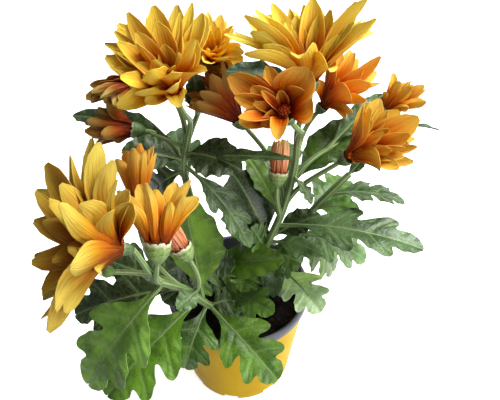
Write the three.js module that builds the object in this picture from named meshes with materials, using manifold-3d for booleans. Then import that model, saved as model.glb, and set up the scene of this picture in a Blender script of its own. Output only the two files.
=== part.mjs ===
// Pot chrysanthemum: a yellow plastic pot with a grey rolled rim, potting soil, four leafy stems and
// fifteen flower heads from closed buds to full blooms.
// Millimetres, +Z up. The origin is the centre of the pot's foot, on the surface that it stands on.
// -Y is the front of the plant.

import * as THREE from "three";
import { mergeVertices } from "three/addons/utils/BufferGeometryUtils.js";
import Module from "manifold-3d";

const wasm = await Module();
wasm.setup();

// ---- Driving dimensions ----

const POT_HEIGHT = 90;
const RIM_RADIUS = 52.5;
const FOOT_RADIUS = 40.5;
const POT_WALL = 1.2;
const RIM_BAND = 7.5; // height of the rolled rim's outer face
const RIM_LIP = 3.4; // width of the rim's top, wall included
const RIM_ROUNDING = 1; // the rim's top edges, cut at 45 degrees
const RIM_DRAFT = 0.6; // the band is this much narrower at its lower edge
const FLOOR_LIFT = 4; // the pot's floor stands this far above the table, except at its middle
const HUB_RADIUS = 14; // the middle of the floor, which stands on the table
const FOOT_RING = 2.4; // width of the ring that the pot's edge stands on
const POT_SIDES = 24;
const FOOT_ARCHES = 8;
const ARCH_WIDTH = 9;
const ARCH_HEIGHT = 2.4;
const DRAIN_HOLES = 5;
const DRAIN_RADIUS = 4;
const DRAIN_CIRCLE = 0.62; // radius of the circle of drain holes, as a share of the foot's

const SOIL_TOP = 76;
const SOIL_RIPPLE = 0.6; // how far the soil's top rises and falls
const CLEARANCE = 0.3; // between two pieces that touch on the real plant

const MAIN_STEM_RADIUS = 2.5;
const STALK_RADIUS = 1.5;
const STEM_HOLE_DEPTH = 16;
const STEM_HOLE_SLACK = 1.3; // the holes in the soil are this much wider than a stem, as a radius
const CALYX_DEPTH = 9; // the green cup under a flower head, from its mouth to its foot
const STALK_SINK = 2; // how far a stalk runs up into the calyx

const PETAL_THICKNESS = 0.9;
const LEAF_THICKNESS = 1.2; // at the ribs
const LEAF_FOLD = 0.22; // how steeply the halves of a leaf rise from its midrib
const LEAF_FLATTENING = 0.01; // how soon that rise flattens out, per mm
const PETIOLE_RADIUS = 1.3;

// ---- Materials ----

const potYellow = new THREE.MeshStandardMaterial({ color: 0xd9a818, roughness: 0.45, metalness: 0 });
const soilBrown = new THREE.MeshStandardMaterial({ color: 0x1c1410, roughness: 0.95, metalness: 0 });
const leafGreen = new THREE.MeshStandardMaterial({ color: 0x3f6a1f, roughness: 0.6, metalness: 0 });
const petalYellow = new THREE.MeshStandardMaterial({ color: 0xe8a51c, roughness: 0.55, metalness: 0 });
const petalOrange = new THREE.MeshStandardMaterial({ color: 0xdd6f1a, roughness: 0.55, metalness: 0 });
const budRust = new THREE.MeshStandardMaterial({ color: 0xa8481c, roughness: 0.6, metalness: 0 });

// ---- Solids ----

// A closed geometry as a manifold-3d solid.
function solidOf(geometry) {
  const loose = geometry.index ? geometry.toNonIndexed() : geometry;
  const bare = new THREE.BufferGeometry().setAttribute("position", loose.getAttribute("position"));
  const merged = mergeVertices(bare, 1e-4);
  const mesh = new wasm.Mesh({
    numProp: 3,
    vertProperties: merged.attributes.position.array,
    triVerts: new Uint32Array(merged.index.array),
  });
  return new wasm.Manifold(mesh);
}

function geometryOf(solid) {
  const mesh = solid.getMesh();
  const geometry = new THREE.BufferGeometry();
  geometry.setAttribute("position", new THREE.BufferAttribute(new Float32Array(mesh.vertProperties), 3));
  geometry.setIndex(new THREE.BufferAttribute(new Uint32Array(mesh.triVerts), 1));
  geometry.computeVertexNormals();
  return geometry;
}

const fuse = (solids) => solids.reduce((whole, piece) => whole.add(piece));

// A closed shell from points and faces, turned right side out.
function shell(points, faces) {
  const geometry = new THREE.BufferGeometry().setFromPoints(points).setIndex(faces.flat());
  const made = solidOf(geometry);
  if (made.volume() > 0) return made;
  return solidOf(geometry.setIndex(faces.map(([a, b, c]) => [a, c, b]).flat()));
}

// A solid of revolution about +Z from [radius, height] pairs.
function turned(profile, sides) {
  const outline = profile.map(([radius, height]) => new THREE.Vector2(radius, height));
  const geometry = new THREE.LatheGeometry(outline, sides).rotateX(Math.PI / 2);
  const made = solidOf(geometry);
  if (made.volume() > 0) return made;
  return solidOf(new THREE.LatheGeometry(outline.reverse(), sides).rotateX(Math.PI / 2));
}

// A round stalk along a curve.
function stalk(curve, radius, sides, steps) {
  const section = new THREE.Shape();
  for (let side = 0; side < sides; side++) {
    const angle = (2 * Math.PI * side) / sides;
    const point = [radius * Math.cos(angle), radius * Math.sin(angle)];
    if (side === 0) section.moveTo(...point);
    else section.lineTo(...point);
  }
  return solidOf(new THREE.ExtrudeGeometry(section, { steps, bevelEnabled: false, extrudePath: curve }));
}

const UP = new THREE.Vector3(0, 0, 1);
const vector = ([x, y, z]) => new THREE.Vector3(x, y, z);
const degrees = (angle) => (angle * Math.PI) / 180;
const aim = (direction) => new THREE.Quaternion().setFromUnitVectors(UP, vector(direction).normalize());

// The Park-Miller generator: the same draws on every run, from -1 to 1.
function draws(seed) {
  let state = seed;
  return () => {
    state = (state * 48271) % 2147483647;
    return (2 * state) / 2147483647 - 1;
  };
}

// ---- Pot and soil ----

function wallRadius(height) {
  const top = RIM_RADIUS - RIM_LIP + POT_WALL;
  return FOOT_RADIUS + ((top - FOOT_RADIUS) * height) / (POT_HEIGHT - RIM_BAND);
}

function potSolid() {
  const bandBottom = POT_HEIGHT - RIM_BAND;
  const floorTop = FLOOR_LIFT + POT_WALL;
  const lipInner = RIM_RADIUS - RIM_LIP;
  let pot = turned(
    [
      [0, POT_WALL],
      [HUB_RADIUS, POT_WALL],
      [HUB_RADIUS + FLOOR_LIFT, floorTop],
      [wallRadius(floorTop) - POT_WALL, floorTop],
      [wallRadius(bandBottom) - POT_WALL, bandBottom],
      [lipInner, POT_HEIGHT - RIM_ROUNDING],
      [lipInner + RIM_ROUNDING, POT_HEIGHT],
      [RIM_RADIUS - RIM_ROUNDING, POT_HEIGHT],
      [RIM_RADIUS, POT_HEIGHT - RIM_ROUNDING],
      [RIM_RADIUS - RIM_DRAFT, bandBottom],
      [wallRadius(bandBottom), bandBottom],
      [FOOT_RADIUS, 0],
      [FOOT_RADIUS - FOOT_RING, 0],
      [FOOT_RADIUS - FOOT_RING, FLOOR_LIFT],
      [HUB_RADIUS + FLOOR_LIFT, FLOOR_LIFT],
      [HUB_RADIUS, 0],
      [0, 0],
    ],
    POT_SIDES,
  );
  for (let arch = 0; arch < FOOT_ARCHES; arch++) {
    const gap = new THREE.BoxGeometry(4 * FOOT_RING, ARCH_WIDTH, 2 * ARCH_HEIGHT);
    gap.translate(FOOT_RADIUS, 0, 0).rotateZ((2 * Math.PI * (arch + 0.5)) / FOOT_ARCHES);
    pot = pot.subtract(solidOf(gap));
  }
  for (let hole = 0; hole < DRAIN_HOLES; hole++) {
    const drill = new THREE.CylinderGeometry(DRAIN_RADIUS, DRAIN_RADIUS, 4 * POT_WALL, 6);
    drill.rotateX(Math.PI / 2).translate(FOOT_RADIUS * DRAIN_CIRCLE, 0, floorTop);
    drill.rotateZ((2 * Math.PI * hole) / DRAIN_HOLES);
    pot = pot.subtract(solidOf(drill));
  }
  return pot;
}

// Potting soil: it fills the pot to a crumbly, slightly sunken top, with a plain hole for each stem.
function soilSolid(stems) {
  const inner = (height) => wallRadius(height) - POT_WALL - CLEARANCE;
  const bottom = FLOOR_LIFT + POT_WALL + CLEARANCE;
  const profile = [
    [0, bottom - FLOOR_LIFT],
    [HUB_RADIUS - CLEARANCE, bottom - FLOOR_LIFT],
    [HUB_RADIUS + FLOOR_LIFT - CLEARANCE, bottom],
    [inner(bottom) - CLEARANCE, bottom],
    [inner(SOIL_TOP), SOIL_TOP - SOIL_RIPPLE],
    [inner(SOIL_TOP) * 0.8, SOIL_TOP + SOIL_RIPPLE],
    [inner(SOIL_TOP) * 0.5, SOIL_TOP - SOIL_RIPPLE],
    [inner(SOIL_TOP) * 0.25, SOIL_TOP + SOIL_RIPPLE],
    [0, SOIL_TOP],
  ];
  let soil = turned(profile, POT_SIDES);
  for (const stem of stems) {
    const [x, y] = stem.path[0];
    const drill = new THREE.CylinderGeometry(1, 1, 1, 7).rotateX(Math.PI / 2);
    const radius = MAIN_STEM_RADIUS + STEM_HOLE_SLACK;
    drill.scale(radius, radius, 2 * STEM_HOLE_DEPTH).translate(x, y, SOIL_TOP);
    soil = soil.subtract(solidOf(drill));
  }
  return soil;
}

// ---- Blooms ----

// A petal in its bloom's frame. It leaves the core at an azimuth and leans out from the bloom's axis.
// Its section is a shallow keel: two thin edges, raised by the cup, and a thicker middle.
function petal({ azimuth, root, length, width, leanRoot, leanTip, cup }) {
  const stations = [
    { along: 0.32, share: 0.44 },
    { along: 0.7, share: 1 },
    { along: 1, share: 0 },
  ];
  const out = new THREE.Vector3(Math.cos(azimuth), Math.sin(azimuth), 0);
  const side = new THREE.Vector3(-Math.sin(azimuth), Math.cos(azimuth), 0);
  const leanAt = (along) => leanRoot + (leanTip - leanRoot) * along;
  const headingAt = (lean) => out.clone().multiplyScalar(Math.sin(lean)).addScaledVector(UP, Math.cos(lean));
  const centre = out.clone().multiplyScalar(root[0]).addScaledVector(UP, root[1]);
  const points = [centre.clone()];
  let reached = 0;
  for (const { along, share } of stations) {
    centre.addScaledVector(headingAt(leanAt((reached + along) / 2)), (along - reached) * length);
    reached = along;
    if (share > 0) {
      const upper = new THREE.Vector3().crossVectors(headingAt(leanAt(along)), side).normalize();
      const half = (width / 2) * share;
      const section = [
        [half, cup * half],
        [0, PETAL_THICKNESS / 2],
        [-half, cup * half],
        [0, -PETAL_THICKNESS / 2],
      ];
      for (const [across, lift] of section) {
        points.push(centre.clone().addScaledVector(side, across).addScaledVector(upper, lift));
      }
    }
  }
  points.push(centre.clone());
  const tip = points.length - 1;
  const faces = [];
  for (let corner = 0; corner < 4; corner++) {
    const next = (corner + 1) % 4;
    faces.push([0, 1 + corner, 1 + next]);
    faces.push([1 + corner, 5 + corner, 5 + next]);
    faces.push([1 + corner, 5 + next, 1 + next]);
    faces.push([5 + corner, tip, 5 + next]);
  }
  return shell(points, faces);
}

// How the rings of petals sit, outermost first: how many, how far they lean from the axis as a share of
// the outer ring's lean, their length as a share of the bloom's reach, and the circle that they root on.
const RINGS = {
  open: [
    { count: 9, lean: 1, length: 1, circle: 2.9 },
    { count: 8, lean: 0.74, length: 0.95, circle: 2.3 },
    { count: 5, lean: 0.48, length: 0.78, circle: 1.8 },
    { count: 3, lean: 0.25, length: 0.55, circle: 1 },
  ],
  half: [
    { count: 8, lean: 1, length: 1, circle: 3.6 },
    { count: 5, lean: 0.5, length: 0.93, circle: 1.9 },
  ],
  bud: [{ count: 7, lean: 1, length: 1, circle: 3.7 }],
};

// How a petal's lean changes from its root to its tip, as shares of its own lean. A bud's petals bulge
// and close over its middle, and the others open towards their tips.
const CURL = {
  open: { root: 0.72, tip: 1.2 },
  half: { root: 0.9, tip: 1.1 },
  bud: { root: 1.7, tip: -1.5 },
};

// How each kind of head grows. cup: how far its petals' edges rise, as a share of half their width.
// stray: how far a petal's lean strays from its ring's, in degrees. calyx: the cup's radius.
const CORE_RADIUS = 4.6;
const HABITS = {
  open: { cup: 0.3, stray: 4, calyx: CORE_RADIUS + 1 },
  half: { cup: 0.5, stray: 1, calyx: CORE_RADIUS + 1 },
  bud: { cup: 0.5, stray: 1, calyx: CORE_RADIUS + 0.7 },
};
const PETAL_PLUMPNESS = 0.42; // a free petal's width as a share of its length
const LENGTH_STRAY = 0.07; // how far a petal's length strays from its ring's, as a share
const TURN_STRAY = 0.06; // how far a petal strays round the ring, as a share of its room

// The bloom's frame has its origin at the middle of the calyx cup's mouth and +Z out of its face.
function bloomSolid({ kind, reach, open, spin = 0, seed }) {
  const draw = draws(seed);
  const profile = [
    [0, CLEARANCE],
    [CORE_RADIUS, CLEARANCE],
    [CORE_RADIUS * 0.9, 2.8],
    [CORE_RADIUS * 0.5, 5],
    [0, 6],
  ];
  const pieces = [turned(profile, 8)];
  RINGS[kind].forEach((ring, depth) => {
    for (let i = 0; i < ring.count; i++) {
      const turn = (i + 0.5 * (depth % 2) + TURN_STRAY * draw()) / ring.count;
      const lean = degrees(open * ring.lean + HABITS[kind].stray * draw());
      const length = reach * ring.length * (1 + LENGTH_STRAY * draw());
      const room = (2 * Math.PI * (ring.circle + 0.6 * length * Math.sin(lean))) / ring.count;
      pieces.push(
        petal({
          azimuth: degrees(spin) + 2 * Math.PI * turn,
          root: [ring.circle, 1.3 + 0.8 * depth],
          length,
          width: Math.min(PETAL_PLUMPNESS * length, room),
          leanRoot: lean * CURL[kind].root,
          leanTip: lean * CURL[kind].tip,
          cup: HABITS[kind].cup,
        }),
      );
    }
  });
  return fuse(pieces);
}

// The flower heads. place: the middle of the calyx cup's mouth. faces: the way the head looks.
// reach: petal length. open: how far the outer petals lean from the axis, in degrees. spin: a small turn
// about that axis, in degrees.
const BLOOMS = [
  {
    name: "bloom_top_left", kind: "open", colour: "yellow", reach: 41, open: 60,
    place: [-29, -25, 264], faces: [-0.22, -0.14, 0.95],
  },
  {
    name: "bloom_top_middle", kind: "open", colour: "orange", reach: 33, open: 50,
    place: [-14, 38, 249], faces: [-0.05, 0, 1],
  },
  {
    name: "bloom_far_left", kind: "half", colour: "orange", reach: 27, open: 34,
    place: [-60, 28, 242], faces: [-0.93, -0.3, 0.2],
  },
  {
    name: "bloom_half_open_left", kind: "half", colour: "orange", reach: 29, open: 15,
    place: [-60, 14, 218], faces: [-0.98, 0.05, 0.06],
  },
  {
    name: "bloom_middle_left", kind: "open", colour: "orange", reach: 34, open: 40,
    place: [3, 8, 227], faces: [-0.66, 0.28, 0.69],
  },
  {
    name: "bloom_crown", kind: "open", colour: "yellow", reach: 45, open: 57,
    place: [41, -5, 258], faces: [-0.05, 0.3, 0.95],
  },
  {
    name: "bloom_middle_front", kind: "open", colour: "yellow", reach: 33, open: 53,
    place: [29, -45, 260], faces: [-0.5, -0.22, 0.82],
  },
  {
    name: "bloom_upper_right", kind: "open", colour: "orange", reach: 36, open: 52, spin: -3,
    place: [53, 20, 228], faces: [0.78, -0.03, 0.63],
  },
  {
    name: "bloom_half_open_right", kind: "half", colour: "orange", reach: 26, open: 24,
    place: [93, 25, 221], faces: [0.75, 0.3, 0.58],
  },
  {
    name: "bloom_right", kind: "open", colour: "orange", reach: 37, open: 40,
    place: [62, -21, 220], faces: [0.76, -0.19, 0.62],
  },
  {
    name: "bud_middle", kind: "bud", colour: "rust", reach: 19, open: 9,
    place: [22, -20, 204], faces: [0.12, 0.45, 0.88],
  },
  {
    name: "bloom_front_left", kind: "open", colour: "yellow", reach: 45, open: 63,
    place: [-49, -95, 230], faces: [-0.95, -0.08, 0.3],
  },
  {
    name: "bloom_vase_front", kind: "half", colour: "orange", reach: 32, open: 27,
    place: [-38, -85, 212], faces: [0.05, 0.57, 0.82],
  },
  {
    name: "bloom_vase_behind", kind: "half", colour: "orange", reach: 30, open: 17,
    place: [-51, -50, 214], faces: [0.02, 0.65, 0.76],
  },
  {
    name: "bud_front", kind: "bud", colour: "rust", reach: 17, open: 9,
    place: [-26, -75, 195], faces: [-0.34, 0.5, 0.8],
  },
];

// ---- Leaves ----

// One half of a leaf's outline, as [share of length, share of half the width]. Each lobe runs from one
// notch to the next round the end of its own vein, and the last lobe ends at the leaf's tip.
const LEAF_SHAPES = {
  lobed: {
    start: [0.17, 0.08],
    lobes: [
      { rib: 0.43, vein: [0.35, 0.42], edge: [[0.28, 0.6], [0.43, 1], [0.53, 0.74]], notch: [0.488, 0.34] },
      { rib: 0.68, vein: [0.6, 0.38], edge: [[0.59, 0.6], [0.7, 0.88], [0.78, 0.58]], notch: [0.74, 0.27] },
    ],
    end: [[0.82, 0.4], [0.91, 0.32], [0.96, 0.17]],
  },
  toothed: {
    start: [0.15, 0.12],
    lobes: [{ rib: 0.62, edge: [[0.34, 0.62], [0.4, 0.98], [0.48, 0.72], [0.62, 1]], notch: [0.68, 0.66] }],
    end: [[0.85, 0.6], [0.89, 0.36]],
  },
};

// A leaf from its foot on a stem to its tip. face: the way its upper side looks. arch: how far its
// middle stands above the straight line from foot to tip. The outline is sharp and the ribs are thick.
function leafSolid({ foot, tip, face, width, arch, kind = "lobed" }) {
  const { start, lobes, end } = LEAF_SHAPES[kind];
  const facing = vector(face).normalize();
  const [from, to] = [vector(foot), vector(tip)];
  const middle = from.clone().add(to).multiplyScalar(0.5).addScaledVector(facing, 2 * arch);
  const midrib = new THREE.QuadraticBezierCurve3(from, middle, to);
  const points = [];
  const place = (along, across, lift) => {
    const heading = midrib.getTangent(along);
    const side = new THREE.Vector3().crossVectors(heading, facing).normalize();
    const upper = new THREE.Vector3().crossVectors(side, heading).normalize();
    const offset = (across * width) / 2;
    const point = midrib.getPoint(along).addScaledVector(side, offset);
    const rise = LEAF_FOLD * Math.abs(offset) - LEAF_FLATTENING * offset * offset;
    point.addScaledVector(upper, lift + rise);
    return points.push(point) - 1;
  };
  const pair = (along, across, thickness) => [
    place(along, across, thickness / 2),
    place(along, across, -thickness / 2),
  ];
  const faces = [];
  const both = (a, b, c) => {
    const at = (corner, under) => (Array.isArray(corner) ? corner[under] : corner);
    faces.push([at(a, 0), at(b, 0), at(c, 0)], [at(a, 1), at(c, 1), at(b, 1)]);
  };
  const ribs = [pair(0, 0, 2 * PETIOLE_RADIUS), pair(start[0], 0, 2 * PETIOLE_RADIUS)];
  for (const { rib } of lobes) ribs.push(pair(rib, 0, LEAF_THICKNESS));
  const tipPoint = place(1, 0, 0);
  const footEdges = [];
  for (const hand of [1, -1]) {
    const turn = (a, b, c) => (hand > 0 ? both(a, b, c) : both(a, c, b));
    const footEdge = place(0, (hand * 2 * PETIOLE_RADIUS) / width, 0);
    footEdges.push(footEdge);
    let corner = place(start[0], hand * Math.max(start[1], (2 * PETIOLE_RADIUS) / width), 0);
    turn(ribs[0], footEdge, corner);
    turn(ribs[0], corner, ribs[1]);
    lobes.forEach(({ vein, edge, notch }, order) => {
      const [before, after] = [ribs[order + 1], ribs[order + 2]];
      const hub = vein ? pair(vein[0], hand * vein[1], LEAF_THICKNESS * 0.8) : before;
      if (vein) turn(hub, before, corner);
      for (const [along, across] of [...edge, notch]) {
        const next = place(along, hand * across, 0);
        turn(hub, corner, next);
        corner = next;
      }
      turn(hub, corner, after);
      if (vein) turn(hub, after, before);
    });
    for (const [along, across] of end) {
      const next = place(along, hand * across, 0);
      turn(ribs.at(-1), corner, next);
      corner = next;
    }
    turn(ribs.at(-1), corner, tipPoint);
  }
  const [right, left] = footEdges;
  faces.push([ribs[0][0], left, right], [ribs[0][1], right, left]);
  return shell(points, faces);
}

// ---- Leafy stems ----

// Each leafy stem: its path from inside the soil to its top, the flower stalks that leave it at a height,
// side shoots with a path of their own, and its leaves. A leaf leaves the main stem at a height, or the
// stalk or shoot that "on" names at a share of its length.
const STEMS = [
  {
    name: "leafy_stem_front_left",
    path: [
      [-17, -14, 62], [-17, -15, 80], [-21, -32, 108], [-25, -50, 137], [-31, -65, 164], [-40, -82, 190],
    ],
    stalks: [
      { to: "bloom_front_left", from: 187 },
      { to: "bloom_vase_front", from: 188 },
      { to: "bloom_vase_behind", from: 160 },
      { to: "bud_front", from: 140 },
    ],
    shoots: [{ name: "spent_flower", from: 166, path: [[-46, -76, 189], [-64, -85, 202]] }],
    leaves: [
      { from: 103, tip: [25, -72, 77], face: [0.2, -0.6, 0.77], width: 48, arch: 7 },
      { from: 95, tip: [8, -32, 86], face: [0.2, -0.4, 0.9], width: 20, arch: 4 },
      { from: 107, tip: [-35, -68, 92], face: [-0.5, -0.6, 0.6], width: 28, arch: 7 },
      { from: 113, tip: [-23, -66, 104], face: [0.4, -0.7, 0.6], width: 16, arch: 5, kind: "toothed" },
      { from: 135, tip: [-79, -95, 104], face: [-0.3, -0.55, 0.78], width: 48, arch: 6 },
      { from: 122, tip: [-31, -28, 202], face: [0.1, 0.95, 0.3], width: 34, arch: 3 },
      { from: 153, tip: [-38, -72, 150], face: [0.5, -0.5, 0.7], width: 12, arch: 2, kind: "toothed" },
      { from: 168, tip: [-91, -75, 156], face: [-0.1, -0.35, 0.93], width: 36, arch: 6 },
      { from: 186, tip: [-80, -110, 142], face: [-0.3, -0.5, 0.81], width: 44, arch: 7 },
    ],
  },
  {
    name: "leafy_stem_back_left",
    path: [[-20, 8, 62], [-20, 7, 80], [-20, -2, 112], [-24, -4, 151], [-31, -2, 200], [-27, 2, 222]],
    stalks: [
      { to: "bloom_top_left", from: 220 },
      { to: "bloom_top_middle", from: 204 },
      { to: "bloom_far_left", from: 210 },
      { to: "bloom_half_open_left", from: 192 },
    ],
    shoots: [],
    leaves: [
      { from: 214, tip: [-97, 8, 232], face: [0.1, 0.5, 0.85], width: 18, arch: 6, kind: "toothed" },
      { from: 210, tip: [4, -20, 212], face: [-0.2, -0.3, 0.93], width: 26, arch: 6 },
      { from: 203, tip: [8, -42, 172], face: [0.2, -0.6, 0.75], width: 26, arch: 6 },
      { from: 206, tip: [-66, -6, 217], face: [-0.1, -0.4, 0.9], width: 18, arch: 3, kind: "toothed" },
      { from: 199, tip: [-54, 2, 178], face: [-0.4, -0.6, 0.7], width: 24, arch: 5 },
      { from: 90, tip: [6, -10, 100], face: [0, -0.4, 0.9], width: 16, arch: 4, kind: "toothed" },
      { from: 104, tip: [10, 22, 88], face: [0.1, -0.2, 0.97], width: 24, arch: 5 },
      { from: 118, tip: [-66, 38, 104], face: [-0.5, 0.3, 0.8], width: 36, arch: 10 },
      { from: 150, tip: [-76, 44, 150], face: [-0.4, 0.2, 0.9], width: 36, arch: 8 },
      { from: 178, tip: [-42, 62, 186], face: [-0.2, 0.1, 0.95], width: 32, arch: 8 },
    ],
  },
  {
    name: "leafy_stem_centre",
    path: [
      [9, 16, 62], [9, 15, 80], [12, -2, 112], [20, -11, 144], [29, -12, 174], [35, -9, 205], [36, -5, 230],
    ],
    stalks: [
      { to: "bloom_crown", from: 228 },
      { to: "bloom_middle_front", from: 216 },
      { to: "bloom_upper_right", from: 206 },
      { to: "bloom_half_open_right", from: 188 },
      { to: "bloom_middle_left", from: 170 },
      { to: "bloom_right", from: 172 },
      { to: "bud_middle", from: 160 },
    ],
    shoots: [],
    leaves: [
      { from: 150, tip: [-3, 6, 192], face: [0.2, -0.6, 0.75], width: 28, arch: 5 },
      { from: 194, tip: [80, 28, 216], face: [-0.3, -0.5, 0.8], width: 32, arch: 3 },
      { from: 161, tip: [108, -45, 170], face: [0, 0.15, 1], width: 40, arch: 7 },
      { from: 146, tip: [56, -24, 145], face: [0.2, -0.2, 0.95], width: 20, arch: 4 },
      { from: 138, tip: [-14, -32, 144], face: [0.1, 1, 0.1], width: 32, arch: 3 },
      { from: 96, tip: [23, -38, 99], face: [0.1, -0.4, 0.9], width: 26, arch: 5 },
      { from: 200, tip: [44, -28, 192], face: [0.6, -0.6, 0.5], width: 8, arch: 2, kind: "toothed" },
      { from: 168, tip: [6, 14, 199], face: [0, 0.1, 1], width: 14, arch: 4, kind: "toothed" },
      { from: 110, tip: [8, 60, 90], face: [0, 0.4, 0.9], width: 34, arch: 10 },
      { from: 138, tip: [-14, 56, 134], face: [0, 0.2, 0.95], width: 32, arch: 8 },
      { from: 168, tip: [36, 58, 176], face: [0.1, 0.1, 0.98], width: 30, arch: 8 },
      {
        on: "bloom_half_open_right", at: 0.75, tip: [125, 8, 218], face: [0.1, 0.3, 0.9],
        width: 10, arch: 5, kind: "toothed",
      },
      {
        on: "bloom_crown", at: 0.5, tip: [-2, -6, 266], face: [0, 0.1, 0.95],
        width: 14, arch: 3, kind: "toothed",
      },
    ],
  },
  {
    name: "leafy_stem_right",
    path: [[21, 0, 62], [21, 0, 80], [30, 2, 108], [40, 2, 140], [52, 2, 163], [66, 3, 182], [72, 5, 188]],
    stalks: [],
    shoots: [],
    leaves: [
      { from: 172, tip: [108, -6, 172], face: [0, 0.2, 0.97], width: 26, arch: 6 },
      { from: 162, tip: [80, -6, 166], face: [0, 0.2, 0.97], width: 14, arch: 5, kind: "toothed" },
      { from: 140, tip: [88, -12, 126], face: [0.1, -0.3, 0.95], width: 36, arch: 8 },
      { from: 143, tip: [70, 2, 98], face: [0.5, -0.4, 0.75], width: 34, arch: 10 },
      { from: 118, tip: [64, -18, 80], face: [0.4, -0.35, 0.8], width: 34, arch: 12 },
      { from: 98, tip: [42, -2, 88], face: [0.2, -0.3, 0.9], width: 20, arch: 5 },
      { from: 186, tip: [82, 6, 203], face: [0.2, -0.5, 0.85], width: 8, arch: 1, kind: "toothed" },
      { from: 112, tip: [74, 44, 92], face: [0.4, 0.3, 0.85], width: 32, arch: 10 },
      { from: 152, tip: [82, 46, 150], face: [0.3, 0.2, 0.93], width: 32, arch: 8 },
    ],
  },
];

// The green cup of scales under a flower head, with its mouth at the head's place.
function calyxSolid({ place, faces, kind }) {
  const cup = HABITS[kind].calyx;
  const profile = [
    [0, -CALYX_DEPTH],
    [STALK_RADIUS * 1.1, -CALYX_DEPTH],
    [cup * 0.75, -CALYX_DEPTH * 0.67],
    [cup, -CALYX_DEPTH * 0.25],
    [cup * 0.93, 0],
    [0, 0],
  ];
  const pose = new THREE.Matrix4().compose(vector(place), aim(faces), new THREE.Vector3(1, 1, 1));
  return turned(profile, 6).transform(pose.toArray());
}

// Where a rising curve passes a height, as a share of its length.
function shareAtHeight(curve, height) {
  let [low, high] = [0, 1];
  while (high - low > 1e-4) {
    const middle = (low + high) / 2;
    if (curve.getPoint(middle).z < height) low = middle;
    else high = middle;
  }
  return low;
}

// A stalk leaves the stem along the stem's own heading and meets the calyx along the bloom's axis.
function stalkCurve(main, from, bloom) {
  const share = shareAtHeight(main, from);
  const start = main.getPoint(share);
  const facing = vector(bloom.faces).normalize();
  const end = vector(bloom.place).addScaledVector(facing, STALK_SINK - CALYX_DEPTH);
  const pull = start.distanceTo(end) * 0.4;
  const first = start.clone().addScaledVector(main.getTangent(share), pull);
  const last = end.clone().addScaledVector(facing, -pull);
  return new THREE.CubicBezierCurve3(start, first, last, end);
}

function leafyStemSolid({ path, stalks, shoots, leaves }) {
  const main = new THREE.CatmullRomCurve3(path.map(vector));
  const carriers = {};
  const pieces = [stalk(main, MAIN_STEM_RADIUS, 6, path.length + 3)];
  for (const { to, from } of stalks) {
    const bloom = BLOOMS.find(({ name }) => name === to);
    carriers[to] = stalkCurve(main, from, bloom);
    pieces.push(stalk(carriers[to], STALK_RADIUS, 5, 4), calyxSolid(bloom));
  }
  for (const { name, from, path: rest } of shoots) {
    const start = main.getPoint(shareAtHeight(main, from));
    carriers[name] = new THREE.CatmullRomCurve3([start, ...rest.map(vector)]);
    pieces.push(stalk(carriers[name], STALK_RADIUS, 5, 4));
    const knob = new THREE.IcosahedronGeometry(3, 0).translate(...rest.at(-1));
    pieces.push(solidOf(knob));
  }
  for (const { on, at, from, ...leaf } of leaves) {
    const foot = on ? carriers[on].getPoint(at) : main.getPoint(shareAtHeight(main, from));
    pieces.push(leafSolid({ foot: foot.toArray(), ...leaf }));
  }
  return fuse(pieces);
}

// ---- The plant ----

const plant = new THREE.Group();

function addMesh(name, solid, material) {
  const mesh = new THREE.Mesh(geometryOf(solid), material);
  mesh.name = name;
  plant.add(mesh);
  return mesh;
}

addMesh("pot", potSolid(), potYellow);
addMesh("potting_soil", soilSolid(STEMS), soilBrown);

for (const stem of STEMS) {
  addMesh(stem.name, leafyStemSolid(stem), leafGreen);
}

const PETAL_COLOURS = { yellow: petalYellow, orange: petalOrange, rust: budRust };
const FIRST_SEED = 101;

BLOOMS.forEach((bloom, order) => {
  const solid = bloomSolid({ ...bloom, seed: FIRST_SEED + order });
  const mesh = addMesh(bloom.name, solid, PETAL_COLOURS[bloom.colour]);
  mesh.position.set(...bloom.place);
  mesh.quaternion.copy(aim(bloom.faces));
});

export default plant;
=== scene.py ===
# %% [markdown]
# # A potted chrysanthemum
#
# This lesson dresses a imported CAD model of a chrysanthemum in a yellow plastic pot. The CAD part has the
# right places and sizes, but its petals and leaves are plain facets. Each step below takes one thing that
# the grower would point at, such as the pot, the soil, a leaf or a petal, models it once with Blender's own
# tools, and lays copies of it where the CAD part says. All lengths are in metres, as Blender keeps them.

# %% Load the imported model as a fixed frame
import math
import random

import bpy
import numpy as np
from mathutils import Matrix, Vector


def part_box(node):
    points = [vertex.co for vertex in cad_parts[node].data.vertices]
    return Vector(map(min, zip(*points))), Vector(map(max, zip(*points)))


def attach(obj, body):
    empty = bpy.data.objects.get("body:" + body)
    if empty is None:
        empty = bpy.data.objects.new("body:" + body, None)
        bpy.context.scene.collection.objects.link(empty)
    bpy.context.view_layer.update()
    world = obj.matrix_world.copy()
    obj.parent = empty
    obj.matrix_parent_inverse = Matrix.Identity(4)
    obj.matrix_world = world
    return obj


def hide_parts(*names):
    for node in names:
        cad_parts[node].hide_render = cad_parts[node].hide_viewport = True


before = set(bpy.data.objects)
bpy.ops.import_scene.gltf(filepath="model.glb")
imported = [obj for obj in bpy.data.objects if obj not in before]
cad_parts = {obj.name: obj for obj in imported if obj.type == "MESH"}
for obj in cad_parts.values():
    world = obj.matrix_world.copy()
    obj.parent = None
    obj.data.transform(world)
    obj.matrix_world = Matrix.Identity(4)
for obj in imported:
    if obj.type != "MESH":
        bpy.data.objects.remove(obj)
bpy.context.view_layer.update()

# %% [markdown]
# ## Camera
#
# The camera stands a little in front of the plant, above it, and looks down at 41 degrees. The lens is the
# 39.6 mm that such a close view takes on a full-frame sensor: a longer lens would flatten the near bloom.

# %% Place the camera
CAMERA_PLACE = (0.0, -0.2669, 0.4039)
CAMERA_TILT = math.radians(49.07)
CAMERA_TURN = math.radians(-1.90)

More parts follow.
